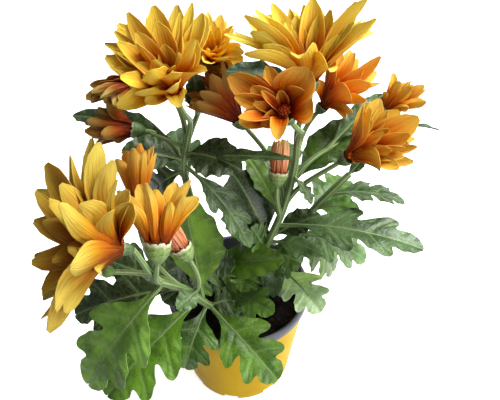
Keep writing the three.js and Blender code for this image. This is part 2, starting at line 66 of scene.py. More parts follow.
camera_data = bpy.data.cameras.new("camera")
camera_data.sensor_width = 36
camera_data.lens = 39.6
camera = bpy.data.objects.new("camera", camera_data)
camera.location = CAMERA_PLACE
camera.rotation_euler = (CAMERA_TILT, 0, CAMERA_TURN)
bpy.context.scene.collection.objects.link(camera)
bpy.context.scene.camera = camera

# %% [markdown]
# ## Small tools for modelling
#
# Operators act on whatever is selected, so each step first selects one object alone. A modifier is applied
# as soon as it is set, because copies of the finished mesh are laid out by their vertices later.

# %% Helpers for selecting, applying and joining
MM = 0.001


def only(piece):
    """Selects one object alone and makes it the active one."""
    bpy.ops.object.select_all(action="DESELECT")
    piece.select_set(True)
    bpy.context.view_layer.objects.active = piece
    return piece


def edit(piece):
    """Opens an object for editing with nothing selected."""
    only(piece)
    bpy.ops.object.mode_set(mode="EDIT")
    bpy.ops.mesh.select_mode(type="VERT")
    bpy.ops.mesh.select_all(action="DESELECT")


def leave_edit():
    """Closes the object that is open for editing."""
    bpy.ops.object.mode_set(mode="OBJECT")


def select_vertices(piece, wanted):
    """Selects the vertices whose place passes a test, in an object that is open for editing."""
    bpy.ops.mesh.select_all(action="DESELECT")
    bpy.ops.object.mode_set(mode="OBJECT")
    for vertex in piece.data.vertices:
        vertex.select = bool(wanted(vertex.co))
    bpy.ops.object.mode_set(mode="EDIT")


def finish_with(piece, kind, **settings):
    """Adds a modifier, sets it and applies it."""
    only(piece)
    modifier = piece.modifiers.new(kind.lower(), kind)
    for name, value in settings.items():
        setattr(modifier, name, value)
    bpy.ops.object.modifier_apply(modifier=modifier.name)


def points_of(mesh):
    """A mesh's vertices as rows of x, y, z."""
    places = np.empty(3 * len(mesh.vertices))
    mesh.vertices.foreach_get("co", places)
    return places.reshape(-1, 3)


def set_points(mesh, places):
    """Puts a mesh's vertices at rows of x, y, z."""
    mesh.vertices.foreach_set("co", np.asarray(places, float).ravel())
    mesh.update()


def copy_of(master, name):
    """A copy of an object with a mesh of its own."""
    twin = bpy.data.objects.new(name, master.data.copy())
    bpy.context.scene.collection.objects.link(twin)
    return twin


def joined(pieces, name):
    """Several objects as one."""
    only(pieces[0])
    for piece in pieces:
        piece.select_set(True)
    if len(pieces) > 1:
        bpy.ops.object.join()
    pieces[0].name = pieces[0].data.name = name
    return pieces[0]


def smooth(piece, degrees=40):
    """Smooth shading, with edges sharper than an angle left crisp."""
    only(piece)
    bpy.ops.object.shade_smooth_by_angle(angle=math.radians(degrees))


def paint_value(mesh, name, value):
    """One number on all vertices of a mesh, or a number for each."""
    layer = mesh.attributes.new(name, "FLOAT", "POINT")
    layer.data.foreach_set("value", np.full(len(mesh.vertices), value))


def paint_colour(mesh, name, colour):
    """One colour on all vertices of a mesh."""
    layer = mesh.attributes.new(name, "FLOAT_COLOR", "POINT")
    layer.data.foreach_set("color", np.tile(colour, len(mesh.vertices)))


# %% [markdown]
# ## Small tools for materials
#
# Every finish here is procedural: noise and the surface's own measures go through a few nodes into the
# shader. A little class keeps the node work short, so that each material reads as a recipe. Values that are
# the same all over a surface are set on the shader itself.

# %% Helpers for colours and nodes
def srgb(red, green, blue):
    """A screen colour, 0 to 255 a channel, as the linear colour that shaders take."""
    shares = [channel / 255 for channel in (red, green, blue)]
    return tuple(s / 12.92 if s <= 0.04045 else ((s + 0.055) / 1.055) ** 2.4 for s in shares) + (1.0,)


class Finish:
    """A material as a recipe of nodes."""

    def __init__(self, name, **shader_values):
        """Starts from a Principled shader and sets those of its sockets that never change."""
        self.material = bpy.data.materials.new(name)
        self.material.use_nodes = True
        self.tree = self.material.node_tree
        self.shader = self.tree.nodes["Principled BSDF"]
        for socket, value in shader_values.items():
            self.shader.inputs[socket.replace("_", " ").title().replace("Ior", "IOR")].default_value = value

    def plug(self, socket, value):
        """Links another node's socket to a socket, or sets it to a plain value."""
        if isinstance(value, bpy.types.NodeSocket):
            self.tree.links.new(value, socket)
        else:
            socket.default_value = value

    def node(self, kind, inputs=(), **settings):
        """A new node of a kind, with its settings and its inputs."""
        made = self.tree.nodes.new("ShaderNode" + kind)
        for name, value in settings.items():
            setattr(made, name, value)
        for socket, value in dict(inputs).items():
            self.plug(made.inputs[socket], value)
        return made

    def math(self, operation, first, second=0.0):
        """One sum, product or other function of two numbers."""
        return self.node("Math", {0: first, 1: second}, operation=operation).outputs[0]

    def mix(self, share, first, second, blend="MIX"):
        """A colour between two, by a share of the second."""
        inputs = {0: share, 6: first, 7: second}
        return self.node("Mix", inputs, data_type="RGBA", blend_type=blend).outputs[2]

    def ease(self, value, low, high, start=0.0, end=1.0):
        """A soft step, from start where the value is low to end where it is high."""
        inputs = {0: value, 1: low, 2: high, 3: start, 4: end}
        return self.node("MapRange", inputs, interpolation_type="SMOOTHSTEP").outputs[0]

    def noise(self, scale, detail=3.0, where=None, roughness=0.55):
        """A smooth random number for each place, with so many patches to a metre."""
        inputs = {"Vector": where or self.place(), "Scale": scale, "Detail": detail, "Roughness": roughness}
        return self.node("TexNoise", inputs).outputs["Fac"]

    def cells(self, scale):
        """How far each place is from the edge of its cell, in a net of uneven cells."""
        inputs = {"Vector": self.place(), "Scale": scale}
        return self.node("TexVoronoi", inputs, feature="DISTANCE_TO_EDGE").outputs["Distance"]

    def place(self):
        """Where on the object each point is."""
        return self.node("TexCoord").outputs["Object"]

    def attribute(self, name, output="Fac"):
        """A number or colour that was painted on the vertices."""
        return self.node("Attribute", attribute_name=name).outputs[output]

    def map(self):
        """The piece's own map: across and along."""
        parts = self.node("SeparateXYZ", {0: self.node("UVMap", uv_map="UVMap").outputs[0]})
        return parts.outputs[0], parts.outputs[1]

    def vector(self, x, y, z=0.0):
        """A place to read a noise at, from three numbers."""
        return self.node("CombineXYZ", {0: x, 1: y, 2: z}).outputs[0]

    def bump(self, height, distance, strength=1.0):
        """Lets the light fall as if the surface rose and sank by a height."""
        made = self.node("Bump", {"Height": height, "Distance": distance, "Strength": strength})
        self.plug(self.shader.inputs["Normal"], made.outputs[0])
        return made.outputs[0]

    def colour(self, value):
        """Sets the shader's colour."""
        self.plug(self.shader.inputs["Base Color"], value)

    def roughness(self, value):
        """Sets how dull the shader is."""
        self.plug(self.shader.inputs["Roughness"], value)

    def let_light_through(self, colour, share, normal):
        """Mixes in a shader that glows with the light behind a thin petal or leaf."""
        glow = self.node("BsdfTranslucent", {"Color": colour, "Normal": normal})
        mixed = self.node("MixShader", {0: share, 1: self.shader.outputs[0], 2: glow.outputs[0]})
        self.plug(self.tree.nodes["Material Output"].inputs["Surface"], mixed.outputs[0])


# %% [markdown]
# ## The pot
#
# A grower's pot is one thin wall that was drawn from a sheet: a notched foot, a tapered side, and a rim
# rolled outwards. Its height and rim are read from the CAD part, so that both always agree, and its other
# sizes are those of a common pot of this kind.

# %% Measure the pot
POT_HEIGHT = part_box("pot")[1].z
RIM_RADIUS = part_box("pot")[1].x
FOOT_RADIUS = 40.5 * MM
POT_WALL = 1.2 * MM
RIM_BAND = 7.5 * MM
RIM_LIP = 3.4 * MM
FLOOR_LIFT = 4 * MM
FOOT_RING = 2.4 * MM
HUB_RADIUS = 14 * MM
BAND_BOTTOM = POT_HEIGHT - RIM_BAND
POT_TURNS = 96


def wall_radius(height):
    """The outer radius of the pot's side at a height."""
    top = RIM_RADIUS - RIM_LIP + POT_WALL
    return FOOT_RADIUS + (top - FOOT_RADIUS) * height / BAND_BOTTOM


print("The pot is", round(POT_HEIGHT / MM), "mm tall and", round(2 * RIM_RADIUS / MM), "mm across the rim")

# %% [markdown]
# The wall could be extruded from a disc, but the rolled rim has an inside and an outside. So one vertex is
# extruded round the wall's section, the corners are rounded, and the section is spun.

# %% Extrude the pot's section and spin it
floor_top = FLOOR_LIFT + POT_WALL
pot_section = [
    (0, POT_WALL),
    (HUB_RADIUS, POT_WALL),
    (HUB_RADIUS + FLOOR_LIFT, floor_top),
    (wall_radius(floor_top) - POT_WALL, floor_top),
    (wall_radius(BAND_BOTTOM) - POT_WALL, BAND_BOTTOM),
    (RIM_RADIUS - RIM_LIP, POT_HEIGHT - 1 * MM),
    (RIM_RADIUS - RIM_LIP + 1 * MM, POT_HEIGHT),
    (RIM_RADIUS - 1 * MM, POT_HEIGHT),
    (RIM_RADIUS, POT_HEIGHT - 1.2 * MM),
    (RIM_RADIUS - 0.6 * MM, BAND_BOTTOM),
    (wall_radius(BAND_BOTTOM), BAND_BOTTOM),
    (FOOT_RADIUS, 0),
    (FOOT_RADIUS - FOOT_RING, 0),
    (FOOT_RADIUS - FOOT_RING, FLOOR_LIFT),
    (HUB_RADIUS + FLOOR_LIFT, FLOOR_LIFT),
    (HUB_RADIUS, 0),
    (0, 0),
]


def spun(name, section, turns, rounding):
    """A turned body: a point extruded along a section of (radius, height) pairs, rounded and spun."""
    bpy.ops.mesh.primitive_plane_add(size=MM)
    body = bpy.context.object
    body.name = body.data.name = name
    edit(body)
    bpy.ops.mesh.select_all(action="SELECT")
    bpy.ops.mesh.merge(type="CENTER")
    bpy.ops.transform.translate(value=(section[0][0], 0, section[0][1]))
    for (radius, height), (next_radius, next_height) in zip(section, section[1:]):
        step = (next_radius - radius, 0, next_height - height)
        bpy.ops.mesh.extrude_region_move(TRANSFORM_OT_translate={"value": step})
    if rounding:
        select_vertices(body, lambda place: place.x > rounding)
        bpy.ops.mesh.bevel(offset=rounding, segments=3, affect="VERTICES")
    bpy.ops.mesh.select_all(action="SELECT")
    bpy.ops.mesh.spin(steps=turns, angle=2 * math.pi, center=(0, 0, 0), axis=(0, 0, 1))
    bpy.ops.mesh.select_all(action="SELECT")
    bpy.ops.mesh.remove_doubles(threshold=1e-6)
    bpy.ops.mesh.normals_make_consistent(inside=False)
    leave_edit()
    return body


CORNER_ROUNDING = 0.5 * MM
pot = spun("pot_shell", pot_section, POT_TURNS, CORNER_ROUNDING)
print("The spun pot has", len(pot.data.polygons), "faces")

# %% [markdown]
# The foot has eight low arches and the floor has five drain holes. Faces could be deleted there, but their
# edges would be ragged. So blocks and round bars are set where a hand would drill, joined, and taken away
# with one Boolean, which gives clean edges.

# %% Cut the foot's arches and the drain holes
FOOT_ARCHES = 8
DRAIN_HOLES = 5
DRAIN_RADIUS = 4 * MM
DRAIN_CIRCLE = 0.62 * FOOT_RADIUS
ARCH_SIZE = (12 * MM, 11 * MM, 7.2 * MM)
ARCH_TURN = math.radians(12)

cutters = []
for arch in range(FOOT_ARCHES):
    angle = 2 * math.pi * (arch + 0.5) / FOOT_ARCHES + ARCH_TURN
    ring_place = (FOOT_RADIUS * math.cos(angle), FOOT_RADIUS * math.sin(angle), 0)
    bpy.ops.mesh.primitive_cube_add(size=1, location=ring_place, rotation=(0, 0, angle), scale=ARCH_SIZE)
    cutters.append(bpy.context.object)
for hole in range(DRAIN_HOLES):
    angle = 2 * math.pi * hole / DRAIN_HOLES
    ring_place = (DRAIN_CIRCLE * math.cos(angle), DRAIN_CIRCLE * math.sin(angle), floor_top)
    bpy.ops.mesh.primitive_cylinder_add(
        vertices=24, radius=DRAIN_RADIUS, depth=4 * POT_WALL, location=ring_place
    )
    cutters.append(bpy.context.object)
cutter = joined(cutters, "pot_cutters")
finish_with(pot, "BOOLEAN", operation="DIFFERENCE", object=cutter, solver="EXACT")
bpy.data.objects.remove(cutter)
smooth(pot, 35)
print("The cut pot has", len(pot.data.polygons), "faces")

# %% [markdown]
# The plastic is yellow outside and dark grey inside and on the rim, in one moulding. Moulded plastic isn't a
# flat colour: it has a faint orange peel, slow streaks where it flowed, and a few dull scuffs. The two
# colours could be two pieces, but one mesh whose faces take either material keeps the wall whole.

# %% Paint the pot
def plastic(name, colour, dull_colour, gloss):
    """Satin moulded plastic: slow streaks of tone, fine orange peel and light scuffs."""
    skin = Finish(name, specular_ior_level=0.06)
    flow = skin.noise(35, 2)
    scuffs = skin.ease(skin.noise(420, 5, roughness=0.7), 0.56, 0.7)
    tone = skin.mix(skin.ease(flow, 0.3, 0.7), colour, dull_colour)
    skin.colour(skin.mix(skin.math("MULTIPLY", scuffs, 0.006), tone, srgb(235, 225, 200)))
    sheen = skin.ease(flow, 0.2, 0.8, gloss, gloss + 0.1)
    skin.roughness(skin.math("ADD", skin.math("MULTIPLY", scuffs, 0.2), sheen))
    skin.bump(skin.noise(1500, 2), 0.03 * MM)
    return skin.material


pot_yellow = plastic("pot_yellow", srgb(240, 194, 2), srgb(232, 184, 0), 0.5)
pot_grey = plastic("pot_grey", srgb(122, 122, 132), srgb(104, 104, 114), 0.4)
pot.data.materials.clear()
pot.data.materials.append(pot_yellow)
pot.data.materials.append(pot_grey)
for face in pot.data.polygons:
    outer = math.hypot(face.center.x, face.center.y) > wall_radius(face.center.z) - 0.4 * POT_WALL
    below = face.center.z < BAND_BOTTOM - 0.1 * MM
    face.material_index = 0 if outer and below else 1
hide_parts("pot")
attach(pot, "root")

# %% [markdown]
# ## The soil
#
# Potting soil is crumbs of peat and bark. A flat disc with a bumpy material would look painted, so the
# shape itself is rough. A disc with many insets gives enough vertices for three layers of displacement:
# a slow one for the hollows, a fine one for the crumbs and a finer one for the grit.

# %% Model the soil
SOIL_TOP = 76 * MM
SOIL_BOTTOM = floor_top + 0.3 * MM
SOIL_RINGS = 34


def displaced(piece, name, kind, size, strength):
    """Moves the vertices of the group "top" up and down by a procedural texture."""
    texture = bpy.data.textures.new(name, kind)
    texture.noise_scale = size
    finish_with(
        piece, "DISPLACE", texture=texture, strength=strength, vertex_group="top", texture_coords="LOCAL",
        direction="Z",
    )


soil_radius = wall_radius(SOIL_TOP) - POT_WALL - 0.3 * MM
soil_foot = wall_radius(SOIL_BOTTOM) - POT_WALL - 0.6 * MM
bpy.ops.mesh.primitive_cone_add(
    vertices=128, radius1=soil_foot, radius2=soil_radius, depth=SOIL_TOP - SOIL_BOTTOM,
    location=(0, 0, (SOIL_TOP + SOIL_BOTTOM) / 2),
)
soil = bpy.context.object
bpy.ops.object.transform_apply(location=True, rotation=True, scale=True)
soil.name = soil.data.name = "soil"
edit(soil)
select_vertices(soil, lambda place: place.z > SOIL_TOP - MM)
for _ in range(SOIL_RINGS):
    bpy.ops.mesh.inset(thickness=0.97 * soil_radius / SOIL_RINGS, depth=0)
bpy.ops.mesh.poke()
leave_edit()
top = soil.vertex_groups.new(name="top")
inner = [v.index for v in soil.data.vertices if v.co.z > SOIL_TOP - MM and v.co.xy.length < soil_radius - MM]
top.add(inner, 1.0, "REPLACE")
displaced(soil, "soil_hollows", "CLOUDS", 14 * MM, 5 * MM)
displaced(soil, "soil_crumbs", "CLOUDS", 2.2 * MM, 3 * MM)
displaced(soil, "soil_grit", "STUCCI", 1.1 * MM, 1.2 * MM)
smooth(soil, 60)
print("The soil has", len(soil.data.polygons), "faces")

# %% [markdown]
# Loose crumbs and slivers of bark lie on the soil. They could be scattered by an instancer, but that lives in
# the scene, not in the mesh. So one small ball of 12 vertices is copied, dented, stretched and dropped on
# the soil by a ray, and the copies are joined.

# %% Scatter crumbs and slivers of bark
CRUMBS = 320
CRUMB_SIZES = (0.6, 0.8, 0.8, 1.1, 1.5)
CRUMB_STRETCHES = ((0.7, 2.2), (0.6, 1.1), (0.5, 0.9))  # least and most, for its length, width and height
scatter = random.Random(11)
bpy.ops.mesh.primitive_ico_sphere_add(subdivisions=1, radius=MM)
crumb = bpy.context.object
crumbs = []
for order in range(CRUMBS):
    distance = (soil_radius - 2.5 * MM) * math.sqrt(scatter.random())
    turn = scatter.uniform(0, 2 * math.pi)
    x, y = distance * math.cos(turn), distance * math.sin(turn)
    _, ground, _, _ = soil.ray_cast(Vector((x, y, 1)), Vector((0, 0, -1)))
    size = scatter.choice(CRUMB_SIZES)
    stretch = Vector([size * scatter.uniform(least, most) for least, most in CRUMB_STRETCHES])
    piece = copy_of(crumb, "crumb")
    dents = np.array([[scatter.uniform(0.8, 1.2)] for _ in piece.data.vertices])
    spots = points_of(piece.data) * np.array(stretch) * dents
    lie = scatter.uniform(0, math.pi)
    turned = np.column_stack(
        [
            spots[:, 0] * math.cos(lie) - spots[:, 1] * math.sin(lie) + ground.x,
            spots[:, 0] * math.sin(lie) + spots[:, 1] * math.cos(lie) + ground.y,
            spots[:, 2] + ground.z + 0.2 * MM,
        ]
    )
    set_points(piece.data, turned)
    paint_value(piece.data, "crumb_tone", scatter.random())
    crumbs.append(piece)
bpy.data.objects.remove(crumb)
crumbs = joined(crumbs, "soil_loose_crumbs")
print(CRUMBS, "crumbs lie on the soil")

# %% [markdown]
# Damp peat is nearly black, brown where it has dried, with pale flecks of fibre. One noise drives both its
# colour and its roughness, so that the dry patches are also the dull ones. The loose crumbs get a tone each.

# %% Paint the soil
earth = Finish("damp_peat", specular_ior_level=0.25)
patches = earth.ease(earth.noise(260, 4), 0.35, 0.7)
flecks = earth.ease(earth.noise(900, 3), 0.62, 0.72)
peat = earth.mix(patches, srgb(14, 10, 9), srgb(38, 27, 20))
earth.colour(earth.mix(flecks, peat, srgb(80, 58, 40)))
earth.roughness(earth.ease(patches, 0, 1, 0.75, 0.95))
earth.bump(earth.noise(700, 4), 0.5 * MM)

bark = Finish("loose_peat", specular_ior_level=0.25)
tone = bark.attribute("crumb_tone")
brown = bark.mix(bark.ease(tone, 0.55, 1.0), srgb(20, 14, 12), srgb(84, 62, 44))
bark.colour(bark.mix(bark.ease(bark.noise(1200, 3), 0.4, 0.7), brown, srgb(30, 21, 17)))
bark.roughness(bark.ease(tone, 0, 1, 0.9, 0.7))
bark.bump(bark.noise(1500, 3), 0.2 * MM)

soil.data.materials.append(earth.material)
crumbs.data.materials.append(bark.material)
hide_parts("potting_soil")
for piece in (soil, crumbs):
    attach(piece, "root")

# %% [markdown]
# ## Where the plant grows
#
# The four leafy stems follow smooth curves through a few points, and each flower stalk leaves its stem
# along the stem's own heading and meets its flower head from below. The CAD part grows on the same stems,
# so what is laid along them here sits where the CAD part is. A few heads stand up to 8 mm further on.

# %% The flower heads
# Each as (kind, middle of the calyx mouth in mm, way it faces, petal length in mm, lean of its outer
# petals in degrees).
BLOOMS = {
    "bloom_top_left": ("open", (-29, -25, 264), (-0.22, -0.14, 0.95), 41, 60),
    "bloom_top_middle": ("open", (-13, 37, 250), (0.03, -0.42, 0.9), 35, 62),
    "bloom_far_left": ("half", (-60, 28, 242), (-0.93, -0.3, 0.2), 27, 34),
    "bloom_half_open_left": ("half", (-60, 14, 218), (-0.98, 0.05, 0.06), 29, 15),
    "bloom_middle_left": ("open", (3, 8, 227), (-0.66, 0.28, 0.69), 34, 40),
    "bloom_crown": ("open", (41, -5, 258), (-0.05, 0.3, 0.95), 45, 57),
    "bloom_middle_front": ("open", (25, -43, 262), (-0.49, -0.26, 0.83), 33, 53),
    "bloom_upper_right": ("open", (53, 20, 228), (0.57, -0.01, 0.82), 36, 52),
    "bloom_half_open_right": ("half", (93, 25, 221), (0.75, 0.3, 0.58), 26, 24),
    "bloom_right": ("open", (62, -21, 220), (0.65, -0.21, 0.73), 37, 40),
    "bud_middle": ("bud", (24.5, -18, 207), (0.09, 0.39, 0.92), 19, 9),
    "bloom_front_left": ("open", (-49, -96.5, 229), (-0.95, -0.08, 0.3), 45, 63),
    "bloom_vase_front": ("half", (-38, -83, 216.5), (0.05, 0.57, 0.82), 32, 27),
    "bloom_vase_behind": ("half", (-51, -50, 214), (0.02, 0.65, 0.76), 30, 17),
    "bud_front": ("bud", (-28, -70, 200.5), (-0.45, 0.25, 0.84), 18, 9),
}
# How large the calyx of a head is, where it isn't of full size.
CALYX_SIZES = {
    "bloom_vase_front": 1.15, "bloom_front_left": 0.5, "bloom_vase_behind": 0.8, "bloom_upper_right": 0.65,
    "bloom_right": 0.75, "bloom_half_open_right": 0.6, "bloom_middle_front": 0.75, "bloom_crown": 0.75,
    "bloom_middle_left": 0.8, "bloom_top_left": 0.75, "bloom_half_open_left": 0.85,
}
print("The plant has", len(BLOOMS), "flower heads")

# %% [markdown]
# Each stem is listed by a few places that it passes through, and by the heads that it carries. More places
# would make it wobble. Fewer would make it as stiff as a stick.

# %% The leafy stems
# path: through the stem's middle. stalks: flower head and the height where its stalk leaves the stem. All
# in mm.
STEMS = {
    "leafy_stem_front_left": {
        "path": [
            (-17, -14, 62), (-17, -15, 80), (-21, -32, 108), (-25, -50, 137), (-31, -65, 164),
            (-40, -82, 190),
        ],
        "stalks": {
            "bloom_front_left": 187, "bloom_vase_front": 188, "bloom_vase_behind": 160, "bud_front": 140,
        },
    },
    "leafy_stem_back_left": {
        "path": [
            (-20, 8, 62), (-20, 7, 80), (-20, -2, 112), (-24, -4, 151), (-31, -2, 200), (-27, 2, 222),
        ],
        "stalks": {
            "bloom_top_left": 220, "bloom_top_middle": 204, "bloom_far_left": 210,
            "bloom_half_open_left": 192,
        },
    },
    "leafy_stem_centre": {
        "path": [
            (9, 16, 62), (9, 15, 80), (12, -2, 112), (20, -11, 144), (29, -12, 174), (35, -9, 205),
            (36, -5, 230),
        ],
        "stalks": {
            "bloom_crown": 228, "bloom_middle_front": 216, "bloom_upper_right": 206,
            "bloom_half_open_right": 188, "bloom_middle_left": 170, "bloom_right": 172, "bud_middle": 160,
        },
    },
    "leafy_stem_right": {
        "path": [
            (21, 0, 62), (21, 0, 80), (30, 2, 108), (40, 2, 140), (52, 2, 163), (66, 3, 182), (72, 5, 188),
        ],
        "stalks": {},
    },
}
# Places on the way of a stalk that swings round, and a stalk whose petals have dropped.
STALK_WAYS = {"bloom_front_left": [(-42.5, -88, 204), (-44, -93, 217)]}
SPENT_FLOWER = {"stem": "leafy_stem_front_left", "from": 166, "path": [(-46, -76, 189), (-64, -85, 202)]}

# %% [markdown]
# Blender's own curve objects could run through the points, but the leaves and flower stalks have to ask where
# a stem is at some height. So the curves are small functions: one that passes through all its points, and
# one that arches between two headings.

# %% Curves through points
CALYX_DEPTH = 6.5 * MM
STALK_PULL = 0.4


def vec(values):
    """A place in mm as a vector in metres."""
    return Vector(values) * MM


def through(points):
    """A smooth curve through points, as a function of a share from 0 to 1. Near points turn it gently."""
    points = [Vector(p) for p in points]
    before = 2 * points[0] - points[1]
    after = 2 * points[-1] - points[-2]
    padded = [before, *points, after]

    def place(share):
        spans = len(points) - 1
        span = min(int(share * spans), spans - 1)
        part = share * spans - span
        p0, p1, p2, p3 = padded[span : span + 4]
        d0, d1, d2 = [max((b - a).length ** 0.5, 1e-4) for a, b in ((p0, p1), (p1, p2), (p2, p3))]
        leave = ((p1 - p0) / d0 - (p2 - p0) / (d0 + d1) + (p2 - p1) / d1) * d1
        arrive = ((p2 - p1) / d1 - (p3 - p1) / (d1 + d2) + (p3 - p2) / d2) * d1
        square, cube = part * part, part**3
        bend = (3 * square - 2 * cube) * (p2 - p1) + (cube - 2 * square + part) * leave
        return p1 + (bend + (cube - square) * arrive)

    return place


def arched(first, second, third, fourth):
    """A curve that leaves the first point towards the second and comes to the fourth from the third."""

    def place(share):
        rest = 1 - share
        near, far = first * rest**3 + second * 3 * rest * rest * share, third * 3 * rest * share**2
        return near + far + fourth * share**3

    return place


def heading(curve, share, step=1e-4):
    """The way that a curve runs at a share of its length."""
    return (curve(min(share + step, 1)) - curve(max(share - step, 0))).normalized()


def share_at_height(curve, height):
    """Where a rising curve passes a height."""
    low, high = 0.0, 1.0
    while high - low > 1e-4:
        middle = (low + high) / 2
        low, high = (middle, high) if curve(middle).z < height else (low, middle)
    return low


def stalk_to(main, height, bloom):
    """The curve of a flower stalk, from its stem to the calyx."""
    _, place, faces, _, _ = BLOOMS[bloom]
    share = share_at_height(main, height * MM)
    start, facing = main(share), Vector(faces).normalized()
    end = vec(place) - CALYX_DEPTH * CALYX_SIZES.get(bloom, 1.0) * facing
    if bloom in STALK_WAYS:
        return through([start, *[vec(spot) for spot in STALK_WAYS[bloom]], end])
    pull = STALK_PULL * (end - start).length
    return arched(start, start + pull * heading(main, share), end - pull * facing, end)


mains = {name: through([vec(p) for p in stem["path"]]) for name, stem in STEMS.items()}
stalks = {
    bloom: stalk_to(mains[name], height, bloom)
    for name, stem in STEMS.items()
    for bloom, height in stem["stalks"].items()
}
spent_main = mains[SPENT_FLOWER["stem"]]
spent_start = spent_main(share_at_height(spent_main, SPENT_FLOWER["from"] * MM))
stalks["spent_flower"] = through([spent_start, *[vec(p) for p in SPENT_FLOWER["path"]]])
print(len(mains), "stems and", len(stalks), "stalks")

# %% [markdown]
# ## Stems and stalks
#
# A chrysanthemum's stem isn't a smooth pipe: it has six low ridges, which show as pale lines. They could be
# pulled out of a finished tube, but it is easier to sweep a section that has them. The section is a circle
# whose every third vertex is pushed out.

# %% Model the ridged section
RIDGES = 6
STEM_SIDES = 3 * RIDGES
RIDGE_HEIGHT = 1.13

bpy.ops.mesh.primitive_circle_add(vertices=STEM_SIDES, radius=1)
stem_section = bpy.context.object


def on_ridge(place):
    """Whether a vertex of the round section stands on a ridge."""
    ridge = math.atan2(place.y, place.x) / (2 * math.pi / RIDGES)
    return abs(ridge - round(ridge)) < 0.1


edit(stem_section)
select_vertices(stem_section, on_ridge)
bpy.ops.transform.resize(value=(RIDGE_HEIGHT, RIDGE_HEIGHT, 1), center_override=(0, 0, 0))
leave_edit()
print("The stem's section has", len(stem_section.data.vertices), "vertices")
bpy.ops.object.convert(target="CURVE")

# %% [markdown]
# The section is set as the bevel object of a curve, which sweeps it along. The radius of each curve point
# tapers the stem. The curves are then converted to meshes, and each stem is joined with its stalks.

# %% Grow the stems and stalks
MAIN_RADII = (3.0 * MM, 2.1 * MM)
STALK_RADII = (1.75 * MM, 1.35 * MM)
MAIN_STEPS, STALK_STEPS, SPENT_STEPS = 44, 26, 22


def tube_along(name, section, curve, radius_at, steps):
    """A closed tube: a section swept along a curve, with a radius for each share of its length."""
    data = bpy.data.curves.new(name, "CURVE")
    data.dimensions = "3D"
    spline = data.splines.new("POLY")
    spline.points.add(steps)
    for order, spot in enumerate(spline.points):
        spot.co = (*curve(order / steps), 1)
        spot.radius = radius_at(order / steps)
    data.bevel_mode = "OBJECT"
    data.bevel_object = section
    data.use_fill_caps = True
    tube = bpy.data.objects.new(name, data)
    bpy.context.scene.collection.objects.link(tube)
    only(tube)
    bpy.ops.object.convert(target="MESH")
    return bpy.context.object


def ridged_tube(name, curve, radii, steps):
    """A stem or a stalk, thicker at its foot than at its top."""

    def radius_at(share):
        """The radius at a share of its length."""
        return radii[0] + (radii[1] - radii[0]) * share

    return tube_along(name, stem_section, curve, radius_at, steps)


stem_pieces = {}
for name, stem in STEMS.items():
    tubes = [ridged_tube(name + "_main", mains[name], MAIN_RADII, MAIN_STEPS)]
    for bloom in stem["stalks"]:
        tubes.append(ridged_tube(bloom + "_stalk", stalks[bloom], STALK_RADII, STALK_STEPS))
    if name == SPENT_FLOWER["stem"]:
        tubes.append(ridged_tube("spent_stalk", stalks["spent_flower"], STALK_RADII, SPENT_STEPS))
    stem_pieces[name] = joined(tubes, name.replace("leafy_stem", "stems"))
bpy.data.objects.remove(stem_section)
print("Stem faces:", {name: len(piece.data.polygons) for name, piece in stem_pieces.items()})

# %% [markdown]
# The skin of a stem is grey-green with a fine down, paler on the ridges, and a little rusty where it is old.
# The pale lines have to stay on the ridges, so they don't come from a place in space but from the tube's own
# map, which counts once round the section.

# %% Paint the stems
bark_green = Finish("stem_skin", roughness=0.55, specular_ior_level=0.35)
_, round_stem = bark_green.map()
ridge_wave = bark_green.math("COSINE", bark_green.math("MULTIPLY", round_stem, 2 * math.pi * RIDGES))
pale_ridge = bark_green.ease(ridge_wave, 0.1, 1.0)
old = bark_green.ease(bark_green.noise(45, 3), 0.5, 0.8)
green = bark_green.mix(old, srgb(86, 116, 52), srgb(104, 104, 56))
striped = bark_green.mix(bark_green.math("MULTIPLY", pale_ridge, 0.6), green, srgb(168, 180, 132))
down = bark_green.ease(bark_green.noise(1600, 3), 0.5, 0.68)
bark_green.colour(bark_green.mix(bark_green.math("MULTIPLY", down, 0.18), striped, srgb(205, 212, 185)))
bark_green.bump(bark_green.noise(900, 4), 0.15 * MM)
for name, piece in stem_pieces.items():
    piece.data.materials.clear()
    piece.data.materials.append(bark_green.material)
    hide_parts(name)
    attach(piece, "root")

# %% [markdown]
# ## The calyx
#
# Under each flower head sits a cup of scales, or bracts: three rows of small green tongues, of which the
# top row has thin, whitish edges. The cup is spun like the pot. The scales could be carved into it, but they
# overlap. So one bract is modelled flat from a grid and given a thickness, and its copies are wrapped round.

# %% Model one bract
BRACT_SHARES = (0.7, 0.9, 1.0, 0.97, 0.78, 0.3)


def flat_blade(name, columns, rows, shares):
    """A flat blade, 2 wide and 1 long, from a grid. shares: how wide each row is, from foot to tip."""
    bpy.ops.mesh.primitive_grid_add(x_subdivisions=columns, y_subdivisions=rows, size=2, calc_uvs=True)
    blade = bpy.context.object
    blade.name = blade.data.name = name
    edit(blade)
    bpy.ops.mesh.select_all(action="SELECT")
    bpy.ops.transform.resize(value=(1, 0.5, 1), center_override=(0, 0, 0))
    bpy.ops.transform.translate(value=(0, 0.5, 0))
    for row, share in enumerate(shares):
        level = row / rows
        select_vertices(blade, lambda place: abs(place.y - level) < 0.2 / rows)
        bpy.ops.transform.resize(value=(share, 1, 1), center_override=(0, level, 0))
    leave_edit()
    return blade


bract = flat_blade("bract", 4, 5, BRACT_SHARES)
finish_with(bract, "SOLIDIFY", thickness=0.22 * MM, offset=1)
print("A bract has", len(bract.data.polygons), "faces")

# %% [markdown]
# The cup's side narrows to the stalk. Each bract follows it: its own height and angle are turned into a place
# round the cup, a little off its side, with its edges tucked in and its tip standing out by chance.

# %% Wrap the bracts round the cups
# For each row how many, from and to which height, and how wide. In mm from the mouth of the cup.
BRACT_ROWS = ((7, -7.0, -3.2, 2.8), (9, -6.8, -0.6, 3.2), (11, -6.2, 2.2, 3.1))
